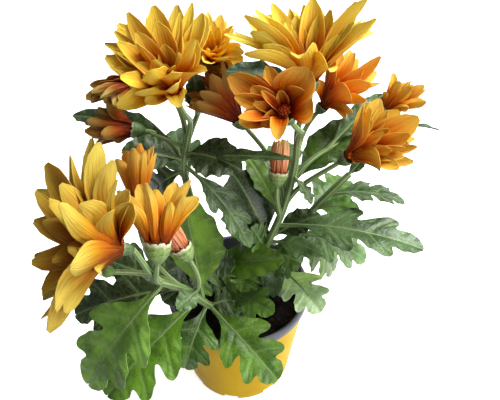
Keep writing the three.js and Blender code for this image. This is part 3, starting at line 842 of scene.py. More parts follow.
# Sections as (radius, height) in mm, also from the mouth.
CUP_SECTION = [
    (0, -7.5), (1.5, -7.5), (2.2, -6.9), (3.4, -5.4), (4.5, -3.4), (5.3, -1.2), (5.4, 0), (3, 0.3), (0, 0.3),
]
SPENT_SECTION = [(0, -4), (1.4, -4), (2.6, -2.4), (3.2, -0.2), (2.6, 1.4), (1.2, 2.0), (0, 2.1)]
CUP_TURNS, SPENT_TURNS = 20, 14
PALE_CALYCES = ("bloom_vase_front", "bud_front", "bud_middle")
PALE_CALYX = (1, 1, 1, 1)
DARK_CALYX = (0.32, 0.4, 0.32, 1)


def cup_radius(height, size):
    """The radius of the cup's outside at a height below its mouth, in mm."""
    outside = CUP_SECTION[1:7]
    return size * np.interp(height, [h for _, h in outside] + [3], [r for r, _ in outside] + [5.5])


def face_turn(faces):
    """The turn from a flower head's own frame, +Z out of its face, to the plant's."""
    return Vector((0, 0, 1)).rotation_difference(Vector(faces).normalized())


def stood(places, place, faces):
    """Points of a flower head's own frame, put where it stands on the plant."""
    return places @ np.array(face_turn(faces).to_matrix()).T + np.array(vec(place))


def wrapped_bract(turn, low, high, width, size, flare):
    """A bract's vertices, wrapped round the cup at an angle between two heights in mm."""
    flat = points_of(bract.data)
    height = low + (high - low) * flat[:, 1]
    radius = cup_radius(height, size) + 0.15 + flare * flat[:, 1] ** 3 + flat[:, 2] / MM
    radius -= 0.25 * flat[:, 0] ** 2
    angle = turn + flat[:, 0] * width / np.maximum(radius, 2)
    return MM * np.column_stack([radius * np.cos(angle), radius * np.sin(angle), height])


def calyx(bloom):
    """The cup of bracts under one flower head."""
    kind, place, faces, _, _ = BLOOMS[bloom]
    size = 0.95 if kind == "bud" else 1.0
    draw = random.Random("calyx " + bloom)
    cup = spun("cup", [(size * r * MM, h * MM) for r, h in CUP_SECTION], CUP_TURNS, 0)
    pieces = [cup]
    for row, (count, low, high, width) in enumerate(BRACT_ROWS):
        for order in range(count):
            turn = 2 * math.pi * (order + 0.5 * (row % 2) + 0.12 * draw.uniform(-1, 1)) / count
            top = high + draw.uniform(-0.5, 0.5)
            piece = copy_of(bract, "bract")
            broad, flare = width * draw.uniform(0.9, 1.1), draw.uniform(0, 0.5)
            set_points(piece.data, wrapped_bract(turn, low, top, broad, size, flare))
            paint_value(piece.data, "bract_row", row / 2)
            pieces.append(piece)
    cup = joined(pieces, bloom.replace("bloom", "calyx").replace("bud", "calyx_bud"))
    paint_colour(cup.data, "calyx_tone", PALE_CALYX if bloom in PALE_CALYCES else DARK_CALYX)
    set_points(cup.data, stood(points_of(cup.data) * CALYX_SIZES.get(bloom, 1.0), place, faces))
    smooth(cup, 50)
    return cup


calyces = [calyx(bloom) for bloom in BLOOMS]
spent = spun("spent_flower", [(r * MM, h * MM) for r, h in SPENT_SECTION], SPENT_TURNS, 0)
paint_colour(spent.data, "calyx_tone", PALE_CALYX)
spent_faces = heading(stalks["spent_flower"], 1.0)
set_points(spent.data, stood(points_of(spent.data), SPENT_FLOWER["path"][-1], spent_faces))
smooth(spent, 50)
calyces.append(spent)
bpy.data.objects.remove(bract)
print(len(calyces), "calyces,", sum(len(c.data.polygons) for c in calyces), "faces")

# %% [markdown]
# A bract is darker along its keel, fresher towards its tip, and papery where it thins out. Its map tells
# where: across for the keel and the edges, along for the tip. Shaded cups get a darker tone all over.

# %% Paint the calyces
sepal = Finish("calyx_skin", roughness=0.5, specular_ior_level=0.35)
across, along = sepal.map()
edge = sepal.math("ABSOLUTE", sepal.math("SUBTRACT", across, 0.5))
thin_edge = sepal.math("MULTIPLY", sepal.ease(edge, 0.3, 0.48), sepal.ease(along, 0.2, 0.8))
thin_tip = sepal.math("MAXIMUM", thin_edge, sepal.ease(along, 0.72, 0.95))
papery = sepal.math("MULTIPLY", thin_tip, sepal.ease(sepal.attribute("bract_row"), 0.5, 1.0, 0.12, 0.8))
keel = sepal.ease(edge, 0.1, 0.0)
fresh = sepal.mix(sepal.ease(along, 0.0, 0.8), srgb(86, 114, 50), srgb(118, 146, 70))
ribbed = sepal.mix(sepal.math("MULTIPLY", keel, 0.7), fresh, srgb(72, 98, 40))
body = sepal.mix(papery, ribbed, srgb(218, 208, 180))
down = sepal.math("MULTIPLY", sepal.ease(sepal.noise(1300, 3), 0.5, 0.7), 0.2)
downy = sepal.mix(down, body, srgb(176, 190, 140))
sepal.colour(sepal.mix(1.0, downy, sepal.attribute("calyx_tone", "Color"), "MULTIPLY"))
sepal.bump(sepal.noise(1100, 3), 0.12 * MM)
for piece in calyces:
    piece.data.materials.clear()
    piece.data.materials.append(sepal.material)
    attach(piece, "root")

# %% [markdown]
# ## The leaves
#
# A chrysanthemum leaf has a narrow foot, two pairs of side lobes and a lobe at its tip, each with blunt
# teeth. Ribs run to every lobe and tooth. It could be cut from a plane, but then no row of vertices would
# follow a rib. So a grid is the start: its middle column becomes the midrib, and each of its rows is laid
# from the midrib, past the middle of a lobe, to one place on the margin.

# %% Draw the margin of a leaf
# One half of the margin as (share of length, share of half width, kind). "t" is the point of a tooth, which
# gets a rib, "l" the point of a lobe, and "." a plain place. feet: where the rows leave the midrib.
# middle: the middle of the lobe, which the rows bend towards.
LOBED_LEAF = (
    {"feet": (0.0, 0.17), "middle": None, "margin": ((0.0, 0.05, "."), (0.09, 0.07, "."), (0.18, 0.12, "."))},
    {
        "feet": (0.18, 0.47), "middle": (0.42, 0.46),
        "margin": (
            (0.225, 0.19, "."), (0.265, 0.30, "."), (0.30, 0.43, "."), (0.335, 0.57, "t"),
            (0.365, 0.63, "."), (0.40, 0.75, "."), (0.435, 0.87, "t"), (0.468, 0.90, "."),
            (0.505, 0.95, "."), (0.545, 0.96, "l"), (0.562, 0.89, "."), (0.568, 0.79, "t"),
            (0.557, 0.68, "."), (0.546, 0.57, "."), (0.541, 0.48, "."), (0.546, 0.42, "."),
        ),
    },
    {
        "feet": (0.48, 0.73), "middle": (0.68, 0.42),
        "margin": (
            (0.562, 0.41, "."), (0.592, 0.49, "."), (0.625, 0.60, "."), (0.655, 0.71, "t"),
            (0.688, 0.74, "."), (0.725, 0.80, "."), (0.76, 0.84, "."), (0.795, 0.82, "l"),
            (0.81, 0.74, "."), (0.815, 0.65, "t"), (0.806, 0.56, "."), (0.80, 0.48, "."),
            (0.803, 0.41, "."),
        ),
    },
    {
        "feet": (0.74, 0.985), "middle": None,
        "margin": (
            (0.818, 0.395, "."), (0.845, 0.43, "."), (0.872, 0.46, "t"), (0.893, 0.43, "."),
            (0.915, 0.40, "."), (0.942, 0.36, "t"), (0.957, 0.28, "."), (0.973, 0.20, "."),
            (0.988, 0.12, "."), (1.0, 0.02, "l"),
        ),
    },
)
TOOTHED_LEAF = (
    {"feet": (0.0, 0.12), "middle": None, "margin": ((0.0, 0.08, "."), (0.07, 0.09, "."), (0.14, 0.12, "."))},
    {
        "feet": (0.13, 0.98), "middle": None,
        "margin": (
            (0.20, 0.26, "."), (0.27, 0.50, "."), (0.34, 0.74, "t"), (0.375, 0.76, "."), (0.42, 0.90, "."),
            (0.47, 1.0, "t"), (0.50, 0.94, "."), (0.545, 0.95, "."), (0.605, 1.0, "t"), (0.63, 0.90, "."),
            (0.67, 0.83, "."), (0.72, 0.82, "."), (0.78, 0.80, "t"), (0.80, 0.66, "."), (0.83, 0.57, "."),
            (0.87, 0.52, "."), (0.915, 0.46, "t"), (0.935, 0.31, "."), (0.965, 0.20, "."), (1.0, 0.02, "l"),
        ),
    },
)
LEAF_COLUMNS = 12
LOBE_PULL = 0.65


def leaf_rows(shape):
    """The rows of a leaf: (foot on the midrib, middle or None, place on the margin, kind) for each. A row is
    added halfway between any two places of a part, on a curve through them, which rounds the lobes."""
    rows = []
    for part in shape:
        curve = through([(along, across, 0) for along, across, _ in part["margin"]])
        count = 2 * len(part["margin"]) - 1
        for order in range(count):
            along, across, _ = curve(order / (count - 1))
            kind = "." if order % 2 else part["margin"][order // 2][2]
            foot = part["feet"][0] + (part["feet"][1] - part["feet"][0]) * (order + 1) / count
            rows.append((min(foot, along), part["middle"], (along, max(across, 0.01)), kind))
    return rows


def row_place(row, share):
    """A place on a row, from the midrib (0) to the margin (1), as (along, across)."""
    foot, middle, (along, across), _ = row
    bend = ((foot + along) / 2, across / 2)
    if middle:
        pull = LOBE_PULL * min(1, across / 0.5)
        bend = tuple(straight + pull * (lobe - straight) for straight, lobe in zip(bend, middle))
    rest = 1 - share
    return (
        rest * rest * foot + 2 * rest * share * bend[0] + share * share * along,
        2 * rest * share * bend[1] + share * share * across,
    )


# %% [markdown]
# The grid's rows are laid out by these margins, and its middle column along the midrib. The same rows tell
# where the ribs run, so that later the blade can sink along them and the material can draw them.

# %% Lay a grid out as a leaf
def leaf_blank(name, shape):
    """A flat leaf, half as wide as it is 1 long, with its ribs as lists of places on it."""
    rows = leaf_rows(shape)
    bpy.ops.mesh.primitive_grid_add(x_subdivisions=LEAF_COLUMNS, y_subdivisions=len(rows) - 1, size=2)
    blank = bpy.context.object
    blank.name = name
    spots = points_of(blank.data)
    for spot in spots:
        row = rows[round((spot[1] + 1) / 2 * (len(rows) - 1))]
        along, across = row_place(row, abs(spot[0]))
        spot[:] = (math.copysign(across, spot[0]) if spot[0] else 0.0, along, 0.0)
    set_points(blank.data, spots)
    ribs = [[(0.0, along) for along in np.linspace(0, 1, 60)]]
    for row in rows:
        if row[3] != "." and row[2][1] > 0.1:
            start = 0.0 if row[3] == "l" else 0.62
            half = [row_place(row, share) for share in np.linspace(start, 0.97, 14)]
            ribs.append([(across, along) for along, across in half])
            ribs.append([(-across, along) for along, across in half])
    return blank, ribs


LEAF_SHAPES = {"lobed": LOBED_LEAF, "toothed": TOOTHED_LEAF}
leaf_blanks = {kind: leaf_blank(kind + "_blank", shape) for kind, shape in LEAF_SHAPES.items()}
for kind, (blank, ribs) in leaf_blanks.items():
    print("The", kind, "leaf blank has", len(blank.data.polygons), "faces and", len(ribs), "ribs")

# %% [markdown]
# The leaves stand where each gets its light: large ones low and outside, and small ones near the heads. They
# could be strewn over the stems by chance, but a plant is known by its leaves, so each is listed by where it
# starts, where its tip is and how it is turned. Old leaves are dark, and so are shaded ones, whose dark tone
# is painted shade. Downy ones are grey, and a few that face the light get paler, brighter tones, which are
# partly painted light and sheen.

# %% Where the leaves grow
# The palest and brightest tones are partly painted light and sheen, and the darkest is partly painted shade.
LEAF_TONES = {
    "green": srgb(62, 96, 26),
    "fresh": srgb(84, 124, 26),
    "bright": srgb(108, 148, 60),
    "frosty": srgb(140, 176, 122),
    "silver": srgb(182, 204, 182),
    "lime": srgb(92, 128, 32),
    "dark": srgb(38, 56, 26),
    "grey": srgb(66, 92, 58),
    "pale": srgb(100, 130, 88),
    "blue": srgb(40, 66, 56),
}
# Each as (height on the stem in mm or (flower stalk, share of its length), tip in mm, way its upper side
# looks, width in mm, arch in mm, kind, tone).
LEAVES = {
    "leafy_stem_front_left": (
        (103, (25, -72, 77), (0.2, -0.6, 0.77), 42, 7, "lobed", "fresh"),
        (95, (8, -32, 86), (0.2, -0.4, 0.9), 20, 4, "lobed", "green"),
        (109, (-36, -67, 86), (-0.1, -0.7, 0.7), 36, 8, "lobed", "green"),
        (100, (-4, -22, 99), (0.1, -0.4, 0.9), 24, 4, "lobed", "dark"),
        (135, (-79, -95, 104), (-0.25, -0.6, 0.76), 50, 6, "lobed", "fresh"),
        (122, (-31, -28, 202), (0.1, 0.95, 0.3), 40, 3, "toothed", "lime"),
        (("bud_front", 0.5), (-33, -82, 167), (0.3, -0.5, 0.8), 12, 3, "toothed", "pale"),
        (160, (-72, -55, 178), (-0.1, -0.5, 0.85), 34, 3, "lobed", "dark"),
        (168, (-91, -75, 156), (-0.1, -0.35, 0.93), 36, 6, "lobed", "dark"),
        (186, (-80, -110, 142), (-0.2, -0.6, 0.78), 44, 6, "lobed", "bright"),
    ),
    "leafy_stem_back_left": (
        (214, (-107, 47, 209), (0.1, -0.3, 0.95), 20, 6, "toothed", "dark"),
        (("bloom_top_middle", 0.45), (-22, 6, 260), (0.2, -0.85, 0.4), 13, 2, "toothed", "dark"),
        (210, (4, -20, 212), (-0.2, -0.3, 0.93), 28, 6, "toothed", "dark"),
        (207, (31, -31, 228), (0, -0.3, 0.95), 9, 3, "toothed", "grey"),
        (203, (8, -42, 172), (0.5, -0.3, 0.75), 24, 6, "lobed", "grey"),
        (206, (-66, -6, 217), (-0.1, -0.4, 0.9), 22, 3, "toothed", "dark"),
        (199, (-54, 2, 178), (-0.4, -0.6, 0.7), 28, 5, "lobed", "dark"),
        (88, (24, -36, 102), (0.1, -0.6, 0.8), 30, 5, "lobed", "bright"),
        (100, (17, -5, 98), (0, -0.4, 0.9), 26, 4, "lobed", "green"),
        (96, (-9, -8, 97), (0, -0.3, 0.9), 24, 4, "lobed", "dark"),
        (104, (10, 22, 88), (0.1, -0.2, 0.97), 24, 5, "lobed", "green"),
        (118, (-66, 38, 104), (-0.5, 0.3, 0.8), 36, 10, "lobed", "green"),
        (124, (-50, -32, 138), (0, -0.5, 0.85), 34, 4, "lobed", "dark"),
        (108, (-50, -34, 114), (-0.1, -0.5, 0.85), 34, 4, "lobed", "dark"),
        (128, (-31, -40, 123), (0.1, -0.6, 0.8), 30, 3, "lobed", "green"),
        (116, (30, -28, 146), (0.05, -0.6, 0.8), 25, 4, "toothed", "lime"),
        (112, (-2, -22, 134), (0, -0.5, 0.85), 24, 3, "lobed", "green"),
        (150, (-76, 44, 150), (-0.4, 0.2, 0.9), 36, 8, "lobed", "green"),
        (178, (-42, 62, 186), (-0.2, 0.1, 0.95), 32, 8, "lobed", "grey"),
    ),
    "leafy_stem_centre": (
        (146, (-2, 2, 194), (0.2, -0.6, 0.75), 46, 5, "toothed", "dark"),
        (194, (80, 28, 216), (-0.3, -0.5, 0.8), 25, 3, "toothed", "green"),
        (161, (110, -45, 170), (0, 0.0, 1), 40, 7, "lobed", "grey"),
        (150, (54, -10, 167), (0.1, -0.3, 0.95), 18, 4, "toothed", "dark"),
        (146, (56, -24, 145), (0.2, -0.2, 0.95), 22, 4, "lobed", "pale"),
        (138, (9, -20, 167), (0.1, -0.6, 0.8), 22, 3, "lobed", "green"),
        (136, (43, -20, 133), (0.1, -0.5, 0.85), 34, 4, "lobed", "green"),
        (108, (41, -8, 97), (0.1, -0.4, 0.9), 34, 4, "toothed", "grey"),
        (96, (2, -22, 108), (0, -0.4, 0.9), 24, 4, "lobed", "fresh"),
        (200, (44, -28, 192), (0.6, -0.6, 0.5), 8, 2, "toothed", "grey"),
        (168, (6, 14, 199), (0, 0.1, 1), 16, 4, "toothed", "lime"),
        (110, (8, 60, 90), (0, 0.4, 0.9), 34, 10, "lobed", "green"),
        (138, (-14, 56, 134), (0, 0.2, 0.95), 32, 8, "lobed", "lime"),
        (168, (36, 58, 176), (0.1, 0.1, 0.98), 30, 8, "lobed", "grey"),
        (("bloom_half_open_right", 0.75), (125, 8, 218), (0.1, 0.3, 0.9), 10, 5, "toothed", "blue"),
        (("bloom_crown", 0.9), (-4, -12, 270), (0, -0.3, 0.95), 17, 6, "toothed", "blue"),
        (("bloom_half_open_right", 0.5), (94, 35, 228), (0, -0.5, 0.8), 14, 4, "toothed", "grey"),
    ),
    "leafy_stem_right": (
        (172, (108, -6, 172), (0, 0.2, 0.97), 34, 6, "lobed", "grey"),
        (162, (80, -6, 166), (0, -0.4, 0.9), 18, 5, "toothed", "frosty"),
        (140, (88, -12, 126), (0.1, -0.3, 0.95), 34, 8, "lobed", "pale"),
        (143, (70, 2, 98), (0.3, -0.55, 0.75), 36, 10, "lobed", "lime"),
        (106, (55, -40, 106), (0.15, -0.5, 0.85), 34, 7, "lobed", "silver"),
        (98, (42, -2, 88), (0.2, -0.3, 0.9), 20, 5, "lobed", "grey"),
        (186, (82, 6, 203), (0.2, -0.5, 0.85), 8, 1, "toothed", "grey"),
        (112, (74, 44, 92), (0.4, 0.3, 0.85), 32, 10, "lobed", "green"),
        (108, (39, 14, 102), (0.2, -0.3, 0.9), 26, 4, "lobed", "dark"),
        (152, (82, 46, 150), (0.3, 0.2, 0.93), 32, 8, "lobed", "green"),
    ),
}
print("The plant has", sum(len(leaves) for leaves in LEAVES.values()), "leaves")

# %% [markdown]
# A grown leaf arches from its foot to its tip, folds up a little along its midrib, sinks along its ribs and
# puckers between them, and its margin waves. Sculpting could do that for one leaf. Here a few lines of
# arithmetic do it for each copy of the flat leaf, by its own sizes, and Solidify gives it a thickness.

# %% Bend a leaf into its place
LEAF_THICKNESS = 0.45 * MM
FOLD = 0.22
FLATTENING = 0.01 / MM
RIB_DEPTH, RIB_REACH = 0.35 * MM, 1.3 * MM
PUCKER, PUCKER_REACH = 0.42 * MM, 3.2 * MM
WAVE_HEIGHT, WAVE_RATE = 1.1 * MM, 26
MOST_TILT = 0.12
KEEL_SINK = 0.2 * MM


def rib_gap(spots, ribs, width, length):
    """How far each flat place on a leaf lies from the nearest rib, in metres."""
    scale = np.array([width / 2, length])
    flat = spots[:, :2] * scale
    nearest = np.full(len(flat), 1.0)
    for rib in ribs:
        rib = np.array(rib) * scale
        starts, spans = rib[:-1], rib[1:] - rib[:-1]
        lengths = np.maximum((spans**2).sum(1), 1e-12)
        share = np.clip(((flat[:, None] - starts) * spans).sum(2) / lengths, 0, 1)
        gaps = np.linalg.norm(flat[:, None] - (starts + share[..., None] * spans), axis=2).min(1)
        nearest = np.minimum(nearest, gaps)
    return nearest


def grown_leaf(name, foot, tip, face, width, arch, kind, tone, draw):
    """A leaf from its foot on a stem to its tip, and the curve that runs under its midrib."""
    blank, ribs = leaf_blanks[kind]
    leaf = copy_of(blank, name)
    flat = points_of(leaf.data)
    width, arch = width * MM, arch * MM
    facing = Vector(face).normalized()
    foot, tip = Vector(foot), vec(tip)
    length = (tip - foot).length
    middle = (foot + tip) / 2 + 2 * arch * facing
    start, bend, end = np.array(foot), np.array(middle), np.array(tip)
    along, across = flat[:, 1:2], flat[:, 0]
    line = start * (1 - along) ** 2 + 2 * bend * (1 - along) * along + end * along**2
    ahead = 2 * (bend - start) * (1 - along) + 2 * (end - bend) * along
    ahead /= np.linalg.norm(ahead, axis=1, keepdims=True)
    side = np.cross(ahead, np.array(facing))
    side /= np.linalg.norm(side, axis=1, keepdims=True)
    upper = np.cross(side, ahead)
    offset = across * width / 2
    gap = rib_gap(flat, ribs, width, length)
    lift = FOLD * np.abs(offset) - FLATTENING * offset**2
    lift -= RIB_DEPTH * np.exp(-((gap / RIB_REACH) ** 2))
    lift += PUCKER * (1 - np.exp(-((gap / PUCKER_REACH) ** 2)))
    waves = WAVE_RATE * along[:, 0] + draw.uniform(0, 6.3)
    lift += WAVE_HEIGHT * np.abs(across) ** 2 * np.sin(waves + 1.5 * np.sign(across))
    lift += draw.uniform(-MOST_TILT, MOST_TILT) * offset
    places = line + side * offset[:, None] + upper * lift[:, None]
    set_points(leaf.data, places)
    paint_value(leaf.data, "rib_gap", gap / MM)
    shade = draw.uniform(0.88, 1.12)
    paint_colour(leaf.data, "leaf_tone", (*[shade * c for c in LEAF_TONES[tone][:3]], 1.0))
    leaf.data.materials.append(leaf_upper)
    leaf.data.materials.append(leaf_under)
    finish_with(leaf, "SOLIDIFY", thickness=LEAF_THICKNESS, offset=-1, material_offset=1)

    def keel(share):
        """A place under the midrib, at a share of the leaf's length."""
        rest = 1 - share
        spot = foot * rest * rest + 2 * middle * rest * share + tip * share * share
        ahead = (2 * (middle - foot) * rest + 2 * (tip - middle) * share).normalized()
        down = ahead.cross(facing).cross(ahead).normalized()
        return spot - down * (LEAF_THICKNESS + KEEL_SINK) * min(1, share / 0.2)

    return leaf, keel


# %% [markdown]
# A leaf's upper side is deep green and a little glossy, and its underside is paler and dull, with ribs that
# show more. Both share one recipe with other values. The ribs could be drawn as bands across the blade, but
# lobes bend them, so the recipe reads the painted distance to the nearest rib.

# %% Paint the leaves
def leaf_finish(name, tint, vein, midrib_share, rib_share, wide_vein, roughness, glow):
    """A leaf's skin: its own tone in soft patches, partly painted shade and sheen, pale ribs, veins and down.
    """
    skin = Finish(name, roughness=roughness, specular_ior_level=0.45)
    gap = skin.attribute("rib_gap")
    across, _ = skin.map()
    midrib = skin.ease(skin.math("ABSOLUTE", skin.math("SUBTRACT", across, 0.5)), 0.024, 0.006)
    own = skin.mix(1.0, skin.attribute("leaf_tone", "Color"), tint, "MULTIPLY")
    # Darker and lighter patches of its tone: partly its own unevenness, partly painted shade and sheen.
    patches = skin.ease(skin.noise(60, 4), 0.38, 0.62)
    dark = skin.mix(1.0, own, (0.52, 0.6, 0.42, 1), "MULTIPLY")
    light = skin.mix(1.0, own, (1.4, 1.34, 1.2, 1), "MULTIPLY")
    base = skin.mix(patches, dark, light)
    net = skin.ease(skin.cells(330), 0.0, 0.22)
    netted = skin.mix(net, skin.mix(0.1, base, vein), base)
    near = skin.ease(gap, 2.2, 0.2)
    soft = skin.mix(skin.math("MULTIPLY", near, 0.08), netted, vein)
    line = skin.math("MULTIPLY", skin.ease(gap, wide_vein, 0.15), rib_share)
    drawn = skin.math("MAXIMUM", line, skin.math("MULTIPLY", midrib, midrib_share))
    ribbed = skin.mix(drawn, soft, vein)
    down = skin.ease(skin.noise(1500, 4, roughness=0.7), 0.54, 0.7)
    colour = skin.mix(skin.math("MULTIPLY", down, 0.07), ribbed, srgb(190, 205, 178))
    skin.colour(colour)
    normal = skin.bump(skin.math("ADD", skin.math("MULTIPLY", net, 0.5), skin.noise(700, 4)), 0.14 * MM)
    skin.let_light_through(skin.mix(1.0, colour, (1.5, 1.5, 0.5, 1), "MULTIPLY"), glow, normal)
    return skin.material


leaf_upper = leaf_finish(
    "leaf_upper_side", tint=(1, 1, 1, 1), vein=srgb(150, 176, 110), midrib_share=0.5, rib_share=0.2,
    wide_vein=0.6, roughness=0.36, glow=0.22,
)
leaf_under = leaf_finish(
    "leaf_underside", tint=(1.5, 1.45, 1.5, 1), vein=srgb(170, 186, 120), midrib_share=0.8, rib_share=0.55,
    wide_vein=0.75, roughness=0.6, glow=0.3,
)

# %% [markdown]
# Under its blade a leaf has a raised midrib, which is its stalk, or petiole, running on. It is swept as the
# stems are, with a round section, and ends short of the leaf's tip.

# %% Grow the leaves
PETIOLE_RADIUS = 1.25 * MM
PETIOLE_REACH = 0.92
BLADE_START = 0.25
bpy.ops.mesh.primitive_circle_add(vertices=8, radius=1)
bpy.ops.object.convert(target="CURVE")
petiole_section = bpy.context.object
PETIOLE_STEPS = 20


def petiole_radius(share):
    """The radius at a share of the leaf's length. It shrinks fast on the stalk and slowly under the blade."""
    if share < BLADE_START:
        return PETIOLE_RADIUS * (1.25 - 2.2 * share)
    return PETIOLE_RADIUS * (0.7 - 0.62 * (share - BLADE_START) / (PETIOLE_REACH - BLADE_START))


def petiole(keel):
    """The leaf's stalk and the raised rib under its blade."""
    tube = tube_along(
        "petiole", petiole_section, lambda share: keel(PETIOLE_REACH * share),
        lambda share: petiole_radius(PETIOLE_REACH * share), PETIOLE_STEPS,
    )
    tube.data.materials.clear()
    tube.data.materials.append(bark_green.material)
    return tube


leaf_pieces = []
for stem, leaves in LEAVES.items():
    draw = random.Random("leaves of " + stem)
    grown = []
    for order, (start, tip, face, width, arch, kind, tone) in enumerate(leaves):
        if isinstance(start, tuple):
            foot = stalks[start[0]](start[1])
        else:
            foot = mains[stem](share_at_height(mains[stem], start * MM))
        leaf, keel = grown_leaf(f"leaf_{order}", foot, tip, face, width, arch, kind, tone, draw)
        grown += [leaf, petiole(keel)]
    piece = joined(grown, stem.replace("leafy_stem", "leaves"))
    smooth(piece, 55)
    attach(piece, "root")
    leaf_pieces.append(piece)
bpy.data.objects.remove(petiole_section)
for blank, _ in leaf_blanks.values():
    bpy.data.objects.remove(blank)
print("Leaf faces:", {piece.name: len(piece.data.polygons) for piece in leaf_pieces})

# %% [markdown]
# ## The petals
#
# A petal, or ray floret, is a tongue: narrow at its root, widest past its middle, with two grooves along it
# and a blunt point. One is modelled flat from a grid: its rows are scaled to the outline, its columns are
# sunk to make the grooves, and it gets a thickness. Every petal on the plant is a copy of it that is bent
# along its own line, cupped, twisted and curled a little differently.

# %% Model one petal
PETAL_COLUMNS = 6
PETAL_ROWS = 11
PETAL_SHARES = (0.26, 0.34, 0.48, 0.64, 0.79, 0.91, 0.98, 1.0, 0.96, 0.85, 0.63, 0.18)
PETAL_THICKNESS = 0.25 * MM
GROOVE = 0.55 * MM
COLUMN_DEPTHS = (0.2, 0.35, -1.0, 0.3, -1.0, 0.35, 0.2)
TIP_ROUNDING = 0.07

petal = flat_blade("petal", PETAL_COLUMNS, PETAL_ROWS, PETAL_SHARES)
edit(petal)
for column, depth in enumerate(COLUMN_DEPTHS):
    for row, share in enumerate(PETAL_SHARES[1:-1], start=1):
        place = share * (2 * column / PETAL_COLUMNS - 1)
        select_vertices(petal, lambda p: abs(p.x - place) < 0.02 and abs(p.y - row / PETAL_ROWS) < 0.01)
        fade = math.sin(math.pi * row / PETAL_ROWS) ** 0.5
        bpy.ops.transform.translate(value=(0, 0, depth * GROOVE * fade))
leave_edit()
spots = points_of(petal.data)
spots[:, 1] -= TIP_ROUNDING * spots[:, 0] ** 2 * np.sin(math.pi * spots[:, 1] / 2)
set_points(petal.data, spots)
petal.data.materials.append(bpy.data.materials.new("petal_upper_blank"))
petal.data.materials.append(bpy.data.materials.new("petal_under_blank"))
finish_with(petal, "SOLIDIFY", thickness=PETAL_THICKNESS, offset=-1, material_offset=1)
print("A petal has", len(petal.data.polygons), "faces")

# %% [markdown]
# Armatures or a curve modifier could bend the copies, but that takes an object for each petal. Here a few
# lines of arithmetic move the vertices at once: along the petal they follow a line that leans more and more,
# and across it they curve up as on a spoon.

# %% Bend a petal into its place
LINE_STEPS = 32


def bent_petal(flat, azimuth, root, length, width, lean, curl, cup, fold, tip_curl, twist, sway):
    """A petal's vertices in its flower head's frame. It leaves its root, (radius, height), at an azimuth, and
    leans from the head's axis by lean, times curl[0] at its root and curl[1] at its tip, plus tip_curl near
    the tip. cup is the angle that each half of it curves up, fold how much its halves rise from its middle,
    twist its turn and sway its drift sideways."""
    shares = np.linspace(0, 1, LINE_STEPS + 1)
    leans = lean * (curl[0] + (curl[1] - curl[0]) * shares)
    leans += tip_curl * np.clip((shares - 0.45) / 0.55, 0, 1) ** 2
    middles = (leans[1:] + leans[:-1]) / 2
    radial = root[0] + length * np.concatenate([[0], np.cumsum(np.sin(middles))]) / LINE_STEPS
    axial = root[1] + length * np.concatenate([[0], np.cumsum(np.cos(middles))]) / LINE_STEPS
    along = np.clip(flat[:, 1], 0, 1)
    reach, rise, tilt = (np.interp(along, shares, values) for values in (radial, axial, leans))
    half = width / 2
    bend = flat[:, 0] * cup
    bow = half / cup
    sideways = np.sin(bend) * (bow - flat[:, 2])
    upward = bow - np.cos(bend) * (bow - flat[:, 2])
    upward += fold * half * np.abs(flat[:, 0]) * np.sin(math.pi * along)
    roll = twist * np.sin(along * math.pi / 2)
    sideways, upward = (
        np.cos(roll) * sideways - np.sin(roll) * upward,
        np.sin(roll) * sideways + np.cos(roll) * upward,
    )
    drift = sway * length * along**2 - sideways
    outward = reach - np.cos(tilt) * upward
    height = rise + np.sin(tilt) * upward
    cos, sin = math.cos(azimuth), math.sin(azimuth)
    return np.column_stack([cos * outward - sin * drift, sin * outward + cos * drift, height])


# %% [markdown]
# Petals sit in rings. The outer ones are the longest and lean out the most, and towards the middle they get
# shorter and stand up. A half-open head has its petals in a tube, and those of a bud close over its middle.

# %% Set the rings of petals
# Outermost first: (how many, share of the head's lean, share of its petal length, root circle in mm).
RINGS = {
    "open": (
        (14, 1.0, 1.0, 3.0), (13, 0.84, 0.97, 2.8), (11, 0.66, 0.88, 2.4), (9, 0.46, 0.7, 1.9),
        (7, 0.28, 0.46, 1.3),
    ),
    "half": ((11, 1.0, 1.0, 3.7), (9, 0.7, 0.95, 2.9), (6, 0.42, 0.85, 2.0)),
    "bud": ((11, 1.0, 1.0, 3.7), (8, 0.7, 0.96, 2.9)),
}
# For each kind of head: the share of a petal's lean at its root and tip, the least and most that it cups, its
# width as a share of its length, and how far chance may take it.
CURLS = {"open": (0.72, 1.2), "half": (0.9, 1.1), "bud": (1.7, -1.5)}
CUPS = {"open": (0.3, 0.8), "half": (0.9, 1.5), "bud": (0.9, 1.3)}
WIDTHS = {"open": 0.29, "half": 0.27, "bud": 0.26}
WILDNESS = {"open": 1.0, "half": 0.75, "bud": 0.2}
# Two tones for each palette. Every petal of a head gets one between them. The two darkest palettes are
# painted shade, for the heads that sit in the shadow of other heads.
PALETTES = {
    "sun": (srgb(240, 230, 84), srgb(236, 216, 60)),
    "gold": (srgb(236, 218, 60), srgb(218, 186, 40)),
    "honey": (srgb(206, 184, 54), srgb(194, 162, 38)),
    "bright": (srgb(255, 240, 84), srgb(254, 224, 62)),
    "amber": (srgb(224, 166, 16), srgb(200, 136, 10)),
    "shaded_bronze": (srgb(188, 122, 24), srgb(156, 88, 16)),
    "shaded_umber": (srgb(164, 112, 34), srgb(132, 80, 24)),
    "orange": (srgb(234, 202, 60), srgb(226, 182, 42)),
    "salmon": (srgb(246, 206, 66), srgb(240, 184, 50)),
    "rust": (srgb(255, 206, 162), srgb(246, 178, 130)),
}
# How far the orange of the throat spreads out along the petals, as a share of their length: how much further
# on the inmost petals than on the outmost, which is partly painted shade where the petals crowd the middle,
# and how much further on the petals of some heads.
DEPTH_BLUSH_AND_SHADE = 0.36
BLUSH = {
    "bloom_half_open_right": 0.1, "bloom_half_open_left": 0.14, "bloom_crown": -0.06, "bloom_right": 0.06,
    "bloom_middle_left": 0.1, "bloom_middle_front": 0.13, "bloom_front_left": 0.05, "bloom_top_left": 0.05,
    "bloom_top_middle": -0.25, "bloom_vase_front": -0.08, "bud_front": -0.5, "bud_middle": -0.4,
}
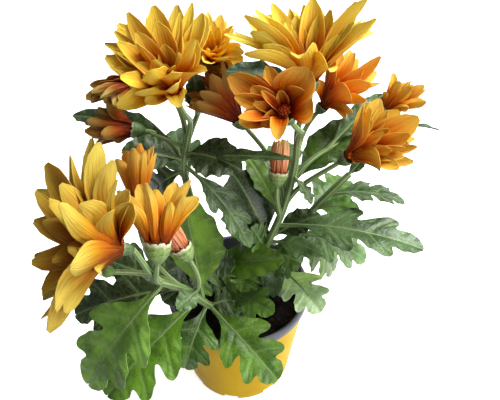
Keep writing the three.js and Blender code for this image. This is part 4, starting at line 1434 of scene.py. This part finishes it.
# The palette and the material slot of each head.
HEAD_COLOURS = {
    "bloom_top_left": ("gold", "yellow_petals"),
    "bloom_top_middle": ("bright", "orange_petals"),
    "bloom_far_left": ("shaded_umber", "orange_petals"),
    "bloom_half_open_left": ("shaded_umber", "orange_petals"),
    "bloom_middle_left": ("shaded_bronze", "orange_petals"),
    "bloom_crown": ("sun", "yellow_petals"),
    "bloom_middle_front": ("amber", "yellow_petals"),
    "bloom_upper_right": ("salmon", "orange_petals"),
    "bloom_half_open_right": ("orange", "orange_petals"),
    "bloom_right": ("orange", "orange_petals"),
    "bud_middle": ("rust", "bud_petals"),
    "bloom_front_left": ("honey", "yellow_petals"),
    "bloom_vase_front": ("orange", "orange_petals"),
    "bloom_vase_behind": ("salmon", "orange_petals"),
    "bud_front": ("rust", "bud_petals"),
}
print("The heads take", len({palette for palette, _ in HEAD_COLOURS.values()}), "palettes")

# %% [markdown]
# Chance makes a natural head, but not this one. So the petals that give each head its outline are placed one
# by one, by where their tips show to the camera, as a flower arranger would turn a head until it looks right.
# The camera's own lens and turn lead from there to a place in the head.

# %% Place the petals that make the outlines
# Each as (x, y, tilt, width): where its tip shows in a view of 500 by 400 pixels, how many degrees it comes
# towards the viewer, and its width in mm. A fifth number curls its tip out by so many degrees, or in where it
# is less than 0.
VIEW_WIDTH, VIEW_HEIGHT = 500, 400
FOCAL = camera_data.lens / camera_data.sensor_width * VIEW_WIDTH
PETAL_TIPS = {
    "bloom_top_left": (
        (129, 15, 5, 9), (154, 8, -8, 12), (157, 24, 8, 12, -30), (180, 14, -5, 5), (192, 5, -8, 6),
        (116, 33, 5, 6), (105, 44, 5, 6, 30), (119, 44, 25, 9), (138, 45, 30, 6), (115, 51, 10, 7),
        (107, 58, 8, 11), (127, 27, 0, 7), (137, 34, 15, 10), (115, 69, 25, 6), (122, 78, 38, 10),
        (118, 106, 25, 10), (164, 46, 15, 10), (138, 64, 32, 8), (150, 79, 45, 5), (146, 103, 50, 8),
        (180, 109, 70, 9, 70), (195, 41, 15, 12), (194, 54, 35, 6), (174, 76, 50, 5), (165, 65, 30, 4),
        (158, 86, 58, 4), (186, 92, 66, 5),
    ),
    "bloom_crown": (
        (246, 17, 15, 8), (257, 12, 5, 7), (273, 6, 0, 10), (290, 11, -5, 6), (304, 7, -8, 6),
        (313, 1, -5, 13), (330, 12, 0, 8), (355, 4, 0, 7), (366, 0, 5, 9), (371, 23, 8, 11),
        (353, 24, 5, 7), (252, 33, 15, 11), (226, 35, 5, 6), (237, 34, 0, 5), (246, 54, 25, 10),
        (270, 20, 8, 8), (286, 24, 5, 8), (320, 16, -2, 9), (300, 57, 62, 14, 70), (331, 71, 58, 14, 60),
        (338, 36, 10, 9), (264, 46, 20, 9), (296, 18, 0, 9),
    ),
    "bloom_middle_front": (
        (230, 77, 0, 13), (267, 67, -5, 8), (256, 76, 0, 6), (308, 70, 15, 19), (311, 99, 30, 18),
        (240, 122, 25, 9), (236, 97, 15, 8), (254, 104, 35, 5), (278, 141, 55, 8, 50), (280, 91, 30, 6),
        (245, 113, 30, 7), (288, 70, -10, 10), (262, 92, 40, 5), (262, 126, 40, 8), (252, 88, 15, 9),
    ),
    "bloom_upper_right": (
        (341, 54, -15, 9), (354, 54, -5, 8), (332, 62, 5, 7), (379, 58, 0, 8), (369, 84, 20, 13),
        (365, 100, 30, 9), (349, 92, 50, 14), (318, 80, -10, 8), (345, 119, 45, 5, 40), (352, 112, 45, 6),
        (361, 70, 10, 9),
    ),
    "bloom_right": (
        (379, 100, -10, 12), (366, 104, 5, 8), (398, 112, -8, 13), (417, 119, 0, 16), (415, 147, 10, 7),
        (402, 157, 22, 9), (397, 169, 30, 10), (380, 167, 45, 13), (372, 122, 30, 6), (390, 150, 35, 7),
        (408, 135, 15, 10), (386, 112, 5, 8), (404, 148, 25, 6),
    ),
    "bloom_half_open_right": (
        (394, 74, -15, 8), (400, 82, 10, 7), (411, 88, 20, 7), (423, 86, 0, 9), (425, 102, 12, 8),
        (386, 92, 10, 7), (408, 108, 30, 6),
    ),
    "bloom_front_left": (
        (92, 140, -8, 10), (99, 144, 2, 13), (113, 161, 10, 12), (117, 180, 25, 5), (48, 166, -10, 15),
        (38, 192, -25, 13), (36, 222, -25, 12), (34, 262, -10, 12), (50, 330, 5, 14), (66, 312, 15, 11),
        (80, 206, 35, 14, -50), (110, 212, 50, 11), (69, 249, 40, 9), (81, 256, 45, 15),
        (101, 278, 48, 6, 60), (44, 290, -5, 12), (128, 190, 15, 10), (62, 186, 10, 12),
        (131, 204, 30, 13, -30),
    ),
    "bloom_middle_left": (
        (196, 76, -5, 9), (196, 85, 10, 8), (188, 91, 10, 7), (205, 64, -8, 8), (222, 61, -10, 8),
        (233, 70, 0, 8), (214, 82, 25, 7), (228, 92, 25, 8), (210, 96, 30, 8), (206, 74, 10, 7),
        (240, 90, 10, 8),
    ),
    "bloom_top_middle": (
        (202, 14, -5, 8), (208, 13, -10, 6), (221, 16, -5, 8), (233, 29, 0, 6), (240, 45, 15, 8),
        (197, 30, 0, 6), (216, 30, 20, 6), (228, 38, 20, 7), (200, 45, 25, 7), (206, 60, 55, 7),
        (222, 62, 55, 7), (238, 60, 35, 7), (194, 50, 15, 6), (226, 22, -10, 5), (206, 28, 10, 5),
        (200, 70, 50, 8), (212, 73, 60, 8), (224, 72, 55, 8), (234, 68, 45, 8), (192, 60, 35, 8),
        (243, 58, 20, 7), (230, 50, 45, 6), (196, 40, 40, 6), (218, 28, 35, 6), (210, 32, 40, 6),
        (186, 66, 30, 8), (214, 22, 10, 6),
    ),
    "bloom_far_left": (
        (87, 98, 0, 9), (98, 86, -5, 8), (106, 81, -15, 9), (98, 93, 15, 8), (118, 80, -15, 9),
        (110, 96, 30, 8), (94, 92, 8, 9), (104, 101, 18, 9), (113, 104, 30, 9), (123, 104, 40, 9),
        (112, 84, 0, 9), (92, 102, 5, 8),
    ),
    "bloom_half_open_left": (
        (86, 131, 0, 9), (88, 121, 10, 9), (95, 116, -10, 9), (108, 100, -5, 10), (99, 108, -15, 8),
        (113, 139, 10, 8), (102, 134, 25, 9),
    ),
    "bloom_vase_front": (
        (119, 192, 8, 10), (139, 186, -15, 9), (156, 191, 12, 11), (175, 184, -18, 11), (190, 182, 5, 8),
        (197, 198, -5, 11), (170, 203, 25, 7), (124, 204, 22, 9), (146, 196, -5, 9), (183, 196, 20, 7),
    ),
    "bloom_vase_behind": (
        (117, 160, 5, 9), (126, 152, 0, 11), (140, 145, -5, 9), (145, 152, 5, 6), (133, 160, 12, 9),
    ),
}
# How far round, in a head's outline, a placed petal counts, and how many pixels another may stick out.
MOST_SWERVE = math.radians(45)
OUTLINE_SLACK = 2


def sight(x, y):
    """The way from the camera through a pixel."""
    aim = Vector(((x - VIEW_WIDTH / 2) / FOCAL, (VIEW_HEIGHT / 2 - y) / FOCAL, -1))
    return (camera.rotation_euler.to_matrix() @ aim).normalized()


def tip_in_head(bloom, x, y, tilt):
    """Where a petal's tip is in its flower head's frame, when it shows at a pixel and tilts to the viewer."""
    _, place, faces, _, _ = BLOOMS[bloom]
    middle, way = vec(place), sight(x, y)
    abreast = camera.location + way * (middle - camera.location).dot(way)
    tip = abreast - way * (abreast - middle).length * math.tan(math.radians(tilt))
    return face_turn(faces).inverted() @ (tip - middle)


def to_viewer(bloom):
    """The way from a flower head to the camera, in the head's own frame."""
    _, place, faces, _, _ = BLOOMS[bloom]
    return face_turn(faces).inverted() @ (camera.location - vec(place)).normalized()


def direction(azimuth, lean):
    """The way of a petal with an azimuth and a lean, in its head's frame."""
    return Vector((math.sin(lean) * math.cos(azimuth), math.sin(lean) * math.sin(azimuth), math.cos(lean)))


def roll_to_camera(bloom, azimuth, lean):
    """The roll that would show a petal's full width to the camera."""
    view = to_viewer(bloom)
    side = Vector((-math.sin(azimuth), math.cos(azimuth), 0))
    face = direction(azimuth, lean).cross(side)
    return math.atan(view.dot(side) / view.dot(face))


def seen(bloom, tip):
    """Where a point of a flower head's frame shows, from where the head's middle shows, in pixels."""
    _, place, faces, _, _ = BLOOMS[bloom]
    turn = face_turn(faces)
    to_camera = camera.rotation_euler.to_matrix().inverted()
    shown = []
    for point in (Vector((0, 0, 0)), tip):
        spot = to_camera @ (vec(place) + turn @ point - camera.location)
        shown.append(Vector((spot.x, spot.y)) * FOCAL / -spot.z)
    return shown[1] - shown[0]


def in_outline(bloom, tip):
    """Whether a tip shows inside the outline that the placed petals of its head give it."""
    shown = seen(bloom, tip)
    corners = [seen(bloom, tip_in_head(bloom, x, y, tilt)) for x, y, tilt, *_ in PETAL_TIPS.get(bloom, ())]
    if not corners:
        return True
    reach = max(corner.length * (1 - (corner.angle(shown) / MOST_SWERVE) ** 2) for corner in corners)
    return shown.length < reach + OUTLINE_SLACK


# %% [markdown]
# A placed petal runs from a small circle in the head's middle to its tip. It is a little longer than that
# way, because it bends, and wider than it shows, because it is cupped. It also rolls round its own line, so
# that its broad side looks at the camera.

# %% Settings of the placed petals
PLACED_ROOTS = {"open": (2.4 * MM, 1.5 * MM), "half": (4.4 * MM, 1.5 * MM)}  # radius and height
BENT_LENGTH = 1.03
CUPPED_WIDTH = 1.1
CURL_LEAN = 0.18
MOST_ROLL = math.radians(50)


def placed_petals(bloom, draw):
    """For each petal of a head that is placed by its tip: how far in it stands, 0 to 1, and its shape."""
    kind, _, _, _, opening = BLOOMS[bloom]
    settings = []
    for x, y, tilt, width, *curled in PETAL_TIPS.get(bloom, ()):
        tip = tip_in_head(bloom, x, y, tilt)
        circle, root_height = PLACED_ROOTS[kind]
        circle *= CALYX_SIZES.get(bloom, 1.0)
        out, up = tip.xy.length - circle, tip.z - root_height
        azimuth, lean = math.atan2(tip.y, tip.x), math.atan2(out, up)
        tip_curl = math.radians(curled[0] if curled else draw.uniform(-18, 8))
        roll = max(-MOST_ROLL, min(MOST_ROLL, roll_to_camera(bloom, azimuth, lean)))
        shape = {
            "azimuth": azimuth,
            "root": (circle, root_height),
            "length": BENT_LENGTH * math.hypot(out, up),
            "width": CUPPED_WIDTH * width * MM,
            "lean": (lean - CURL_LEAN * tip_curl) / (sum(CURLS[kind]) / 2),
            "curl": CURLS[kind],
            "cup": draw.uniform(*CUPS[kind]),
            "fold": draw.uniform(0.1, 0.5),
            "tip_curl": tip_curl,
            "twist": roll + math.radians(draw.uniform(-8, 8)),
            "sway": 0.0,
        }
        settings.append((max(0.0, 1 - lean / math.radians(opening)), shape))
    return settings


print(sum(len(tips) for tips in PETAL_TIPS.values()), "petals are placed by their tips")

# %% [markdown]
# The rest of each head fills up by chance, ring by ring. A petal of a ring is left out where a placed petal
# already lies, where it would stick out of the outline, or where it would hide the head's middle.

# %% Settings of the petals in rings
CLEARANCE = math.radians(11)
WIDE_CLEARANCE = {"bloom_front_left": math.radians(16), "bloom_vase_front": math.radians(20)}
# How many rings a head keeps, counted from outside, where it doesn't keep all.
KEPT_RINGS = {"bloom_middle_front": 3, "bloom_crown": 3, "bloom_top_left": 4, "bloom_front_left": 4}
# How straight a petal may point to the viewer, where it would hide the head's middle. 1 is straight.
MOST_HIDING = {
    "bloom_crown": 0.15, "bloom_middle_front": 0.75, "bloom_right": 0.75, "bloom_upper_right": 0.6,
}


def ring_petals(bloom, draw, placed):
    """The same for the petals that fill the rings of a head by chance, clear of the placed ones."""
    kind, _, _, reach, opening = BLOOMS[bloom]
    wild = WILDNESS[kind]
    clearance = WIDE_CLEARANCE.get(bloom, CLEARANCE)
    view = to_viewer(bloom)
    settings = []
    rings = RINGS[kind][: KEPT_RINGS.get(bloom)]
    for depth, (count, lean_share, length_share, circle) in enumerate(rings):
        for order in range(count):
            lean = math.radians(opening * lean_share + 8 * wild * draw.uniform(-1, 1))
            length = reach * length_share * (1 + 0.1 * draw.uniform(-1, 1))
            room = 2 * math.pi * (circle + 0.6 * length * math.sin(lean)) / count
            shape = {
                "azimuth": 2 * math.pi * (order + 0.5 * (depth % 2) + 0.16 * draw.uniform(-1, 1)) / count,
                "root": (circle * MM, (1.2 + 0.5 * depth) * MM),
                "length": length * MM,
                "width": MM * min(WIDTHS[kind] * length * (1 + 0.2 * draw.uniform(-1, 1)), 1.5 * room + 1.5),
                "lean": lean,
                "curl": CURLS[kind],
                "cup": draw.uniform(*CUPS[kind]),
                "fold": draw.uniform(0.1, 0.5),
                "tip_curl": math.radians(wild * draw.uniform(-42, 12)),
                "twist": math.radians(wild * draw.uniform(-28, 28)),
                "sway": 0.08 * wild * draw.uniform(-1, 1),
            }
            way = direction(shape["azimuth"], lean)
            crowded = any(
                way.angle(direction(other["azimuth"], max(other["lean"], 0.01))) < clearance
                and abs(other["length"] - shape["length"]) < 0.45 * shape["length"]
                for _, other in placed
            )
            tip = way * shape["length"] + Vector((0, 0, shape["root"][1]))
            hides = way.dot(view) > MOST_HIDING.get(bloom, 1.0)
            if in_outline(bloom, tip) and not crowded and not hides:
                settings.append((depth / 4, shape))
    return settings


# %% [markdown]
# Now every head gets its petals. Each copy of the petal takes a tone of its own between its head's two, a
# number for its streaks, and its share of the blush and of the painted shade that deepens the inner rings,
# painted on its vertices for the material to read.

# %% Make the petals of every head
def blend_colour(first, second, share):
    """A colour between two."""
    return tuple(a + (b - a) * share for a, b in zip(first[:3], second[:3])) + (1.0,)


def bloom_petals(bloom):
    """All petals of one flower head."""
    _, place, faces, _, _ = BLOOMS[bloom]
    draw = random.Random("petals of " + bloom)
    first, second = PALETTES[HEAD_COLOURS[bloom][0]]
    flat = points_of(petal.data)
    placed = placed_petals(bloom, draw)
    pieces = []
    for depth, shape in placed + ring_petals(bloom, draw, placed):
        piece = copy_of(petal, "petal")
        set_points(piece.data, bent_petal(flat, **shape))
        paint_colour(piece.data, "petal_tone", blend_colour(first, second, draw.random()))
        paint_value(piece.data, "petal_draw", draw.random())
        # Its share grows with depth as painted shade for the crowded inner rings, plus its head's own blush.
        paint_value(piece.data, "petal_blush_and_depth_shade", DEPTH_BLUSH_AND_SHADE * depth + BLUSH.get(bloom, 0.0))
        pieces.append(piece)
    head = joined(pieces, bloom.replace("bloom", "petals").replace("bud", "petals_bud"))
    set_points(head.data, stood(points_of(head.data), place, faces))
    smooth(head, 60)
    return head


petal_pieces = {bloom: bloom_petals(bloom) for bloom in BLOOMS}
bpy.data.objects.remove(petal)
print("Petal faces:", {piece.name: len(piece.data.polygons) for piece in petal_pieces.values()})

# %% [markdown]
# Each petal runs from deep orange at its root to its own clear tone at its tip, with fine streaks along it
# and pale margins. The dark root, which reaches further on the inner petals, is partly the throat's own
# colour and partly painted shade. Its underside is duller, with rusty lines. The material reads the petal's
# own map, so that the streaks run along every petal whichever way it bends.

# %% Paint the petals
def petal_finish(name, under):
    """A petal's skin: a deep throat, partly painted shade, streaks and threads along it, pale margins, a
    lemon tip.
    """
    skin = Finish(name, roughness=0.5, specular_ior_level=0.08)
    across, along = skin.map()
    draw = skin.attribute("petal_draw")
    blush_with_shade = skin.attribute("petal_blush_and_depth_shade")
    own = skin.attribute("petal_tone", "Color")
    strand = skin.vector(skin.math("MULTIPLY", across, 11), along, skin.math("MULTIPLY", draw, 37))
    streaks = skin.noise(1.6, 4, where=strand)
    threads = skin.noise(4.5, 2, where=strand)
    broken = skin.math("ADD", along, skin.math("MULTIPLY", skin.math("SUBTRACT", streaks, 0.5), 0.7))
    broken = skin.math("SUBTRACT", broken, blush_with_shade)
    # The dark root and throat are the petal's own rust-red throat and also painted shade where petals crowd
    # the middle.
    root = skin.mix(1.0, own, (0.26, 0.04, 0.05, 1), "MULTIPLY")
    throat = skin.mix(1.0, own, (0.80, 0.23, 0.10, 1), "MULTIPLY")
    middle = skin.mix(1.0, own, (0.97, 0.66, 0.4, 1), "MULTIPLY")
    dark = skin.mix(skin.ease(broken, -0.04, 0.3), root, throat)
    warm = skin.mix(skin.ease(broken, 0.2, 0.52), dark, middle)
    clear = skin.mix(skin.ease(broken, 0.4, 0.8), warm, own)
    tip = skin.mix(0.5, own, srgb(250, 248, 146))
    lemon = skin.math("MULTIPLY", skin.ease(along, 0.5, 1.0), skin.ease(blush_with_shade, 0.2, -0.1, 0.3, 0.9))
    edge = skin.math("ABSOLUTE", skin.math("SUBTRACT", across, 0.5))
    pale = skin.math("MULTIPLY", skin.ease(edge, 0.36, 0.5), skin.ease(along, 0.3, 0.8, 0.0, 0.5))
    lit = skin.mix(skin.math("MAXIMUM", lemon, pale), clear, tip)
    lines = skin.ease(skin.math("COSINE", skin.math("MULTIPLY", across, 2 * math.pi * 8)), 0.55, 1.0)
    drawn = skin.math("MULTIPLY", skin.math("MULTIPLY", lines, skin.ease(along, 1.0, 0.5)), 0.3)
    lined = skin.mix(drawn, lit, throat)
    shaded = skin.mix(skin.math("MULTIPLY", skin.ease(threads, 0.5, 0.75), 0.4), lined, throat)
    if under:
        rusty = skin.math("MULTIPLY", skin.ease(streaks, 0.5, 0.62), skin.ease(along, 0.95, 0.3))
        rust = skin.mix(1.0, own, (0.6, 0.3, 0.25, 1), "MULTIPLY")
        shaded = skin.mix(skin.math("MULTIPLY", rusty, 0.5), shaded, rust)
        chalk = skin.math("MULTIPLY", skin.ease(threads, 0.42, 0.3), 0.3)
        shaded = skin.mix(chalk, shaded, srgb(236, 170, 110))
    skin.colour(shaded)
    relief = skin.math("SUBTRACT", skin.math("ADD", streaks, threads), skin.math("MULTIPLY", lines, 0.5))
    normal = skin.bump(relief, 0.3 * MM, 0.8)
    skin.let_light_through(skin.mix(1.0, shaded, (1.15, 0.85, 0.5, 1), "MULTIPLY"), 0.32, normal)
    return skin.material


petal_upper = petal_finish("petal_upper_side", under=False)
petal_under = petal_finish("petal_underside", under=True)
for bloom, piece in petal_pieces.items():
    piece.data.materials[0] = petal_upper
    piece.data.materials[1] = petal_under
    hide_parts(bloom)
    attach(piece, "root")

# %% [markdown]
# ## The middles of the open heads
#
# In the middle of an open head stands a button of disc florets, tiny tubes with flared mouths. A bumpy ball
# would do from far away, but from here the mouths show. So one floret is a short cone whose mouth is inset
# and pushed down, and copies of it cover a low dome. Each is turned on from the last by the golden angle,
# which is how real florets grow.

# %% Model the disc florets
FLORETS = 46
DOME_RADIUS = 3.5 * MM
DOME_FOOT, DOME_TOP = 3 * MM, 6.4 * MM
GOLDEN_ANGLE = math.radians(137.508)
DEEP_FLORETS = srgb(150, 70, 16)
FLORET_TONES = {
    "bloom_top_middle": srgb(250, 200, 40),
    "bloom_right": srgb(226, 120, 24),
    "bloom_middle_front": srgb(140, 48, 8),
}

bpy.ops.mesh.primitive_cone_add(vertices=6, radius1=0.45 * MM, radius2=0.8 * MM, depth=2.2 * MM)
floret = bpy.context.object
edit(floret)
select_vertices(floret, lambda place: place.z > MM)
bpy.ops.mesh.inset(thickness=0.25 * MM, depth=-0.7 * MM)
leave_edit()


def disc(bloom):
    """The dome of florets in the middle of one open flower head."""
    _, place, faces, _, _ = BLOOMS[bloom]
    flat = points_of(floret.data)
    pieces = []
    for order in range(FLORETS):
        share = math.sqrt((order + 0.5) / FLORETS)
        turn = order * GOLDEN_ANGLE
        x, y = share * math.cos(turn), share * math.sin(turn)
        height = DOME_FOOT + (DOME_TOP - DOME_FOOT) * math.sqrt(1 - share * share)
        spot = Vector((DOME_RADIUS * x, DOME_RADIUS * y, height))
        outward = Vector((x, y, 1.25 - share)).normalized()
        lean = np.array(Vector((0, 0, 1)).rotation_difference(outward).to_matrix())
        piece = copy_of(floret, "floret")
        set_points(piece.data, flat @ lean.T + np.array(spot))
        paint_value(piece.data, "floret_draw", (order * 0.37) % 1)
        pieces.append(piece)
    button = joined(pieces, bloom.replace("bloom", "florets"))
    paint_colour(button.data, "floret_tone", FLORET_TONES.get(bloom, DEEP_FLORETS))
    set_points(button.data, stood(points_of(button.data), place, faces))
    smooth(button, 50)
    return button


discs = [disc(bloom) for bloom, (kind, *_) in BLOOMS.items() if kind == "open"]
bpy.data.objects.remove(floret)
print(len(discs), "discs of", FLORETS, "florets")

# %% [markdown]
# Florets are the colour of the throat that they stand in, and brighter where they have opened. Each floret
# has a number of its own, which is mixed with a grain, so that no two look the same.

# %% Paint the disc florets
pollen = Finish("floret_skin", roughness=0.6, specular_ior_level=0.3)
speck = pollen.attribute("floret_draw")
grain = pollen.noise(1400, 3)
own_tone = pollen.attribute("floret_tone", "Color")
bright_tone = pollen.mix(1.0, own_tone, (1.8, 2.4, 2.2, 1), "MULTIPLY")
pollen.colour(pollen.mix(pollen.ease(pollen.math("ADD", speck, grain), 0.4, 1.3), own_tone, bright_tone))
pollen.bump(grain, 0.2 * MM)
for piece in discs:
    piece.data.materials.append(pollen.material)
    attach(piece, "root")

# %% [markdown]
# ## Floor and light
#
# The plant stands on a plain pale floor, like paper on a light table: it glows a little itself, and doesn't
# throw its own light up on the leaves, because diffuse rays don't see it.

# %% Lay the floor
bpy.ops.mesh.primitive_plane_add(size=6)
floor = bpy.context.object
floor.name = "floor"
paper = Finish(
    "pale_floor", roughness=0.9, specular_ior_level=0.1, emission_color=(1, 1, 1, 1), emission_strength=0.75,
)
paper.colour(paper.mix(paper.ease(paper.noise(3, 2), 0.3, 0.7), (0.9, 0.9, 0.9, 1), (0.94, 0.94, 0.94, 1)))
floor.data.materials.append(paper.material)
floor.visible_diffuse = False

# %% [markdown]
# A large soft lamp high on the right and behind makes the petals glow, as a window would, and a weak one
# fills from low at the front right. A pale sky lights the rest. Smaller lamps would be more dramatic, but
# their hard shadows would hide the middle of the plant.

# %% Set the lights
def soft_lamp(name, place, target, size, watts):
    """A round soft lamp that looks at a target."""
    data = bpy.data.lights.new(name, "AREA")
    data.shape = "DISK"
    data.size = size
    data.energy = watts
    lamp = bpy.data.objects.new(name, data)
    lamp.location = place
    lamp.rotation_euler = (Vector(target) - Vector(place)).to_track_quat("-Z", "Y").to_euler()
    bpy.context.scene.collection.objects.link(lamp)


PLANT_MIDDLE = (0, 0, 0.17)
POT_MIDDLE = (0, 0, 0.08)
soft_lamp("window", (0.65, 0.2, 1.1), PLANT_MIDDLE, 1.0, 37)
soft_lamp("fill", (0.7, -0.7, 0.3), POT_MIDDLE, 0.5, 6)
sky = bpy.data.worlds.new("sky")
sky.use_nodes = True
sky.node_tree.nodes["Background"].inputs["Color"].default_value = (1, 1, 1, 1)
sky.node_tree.nodes["Background"].inputs["Strength"].default_value = 0.26
bpy.context.scene.world = sky
bpy.context.scene.view_settings.view_transform = "Standard"
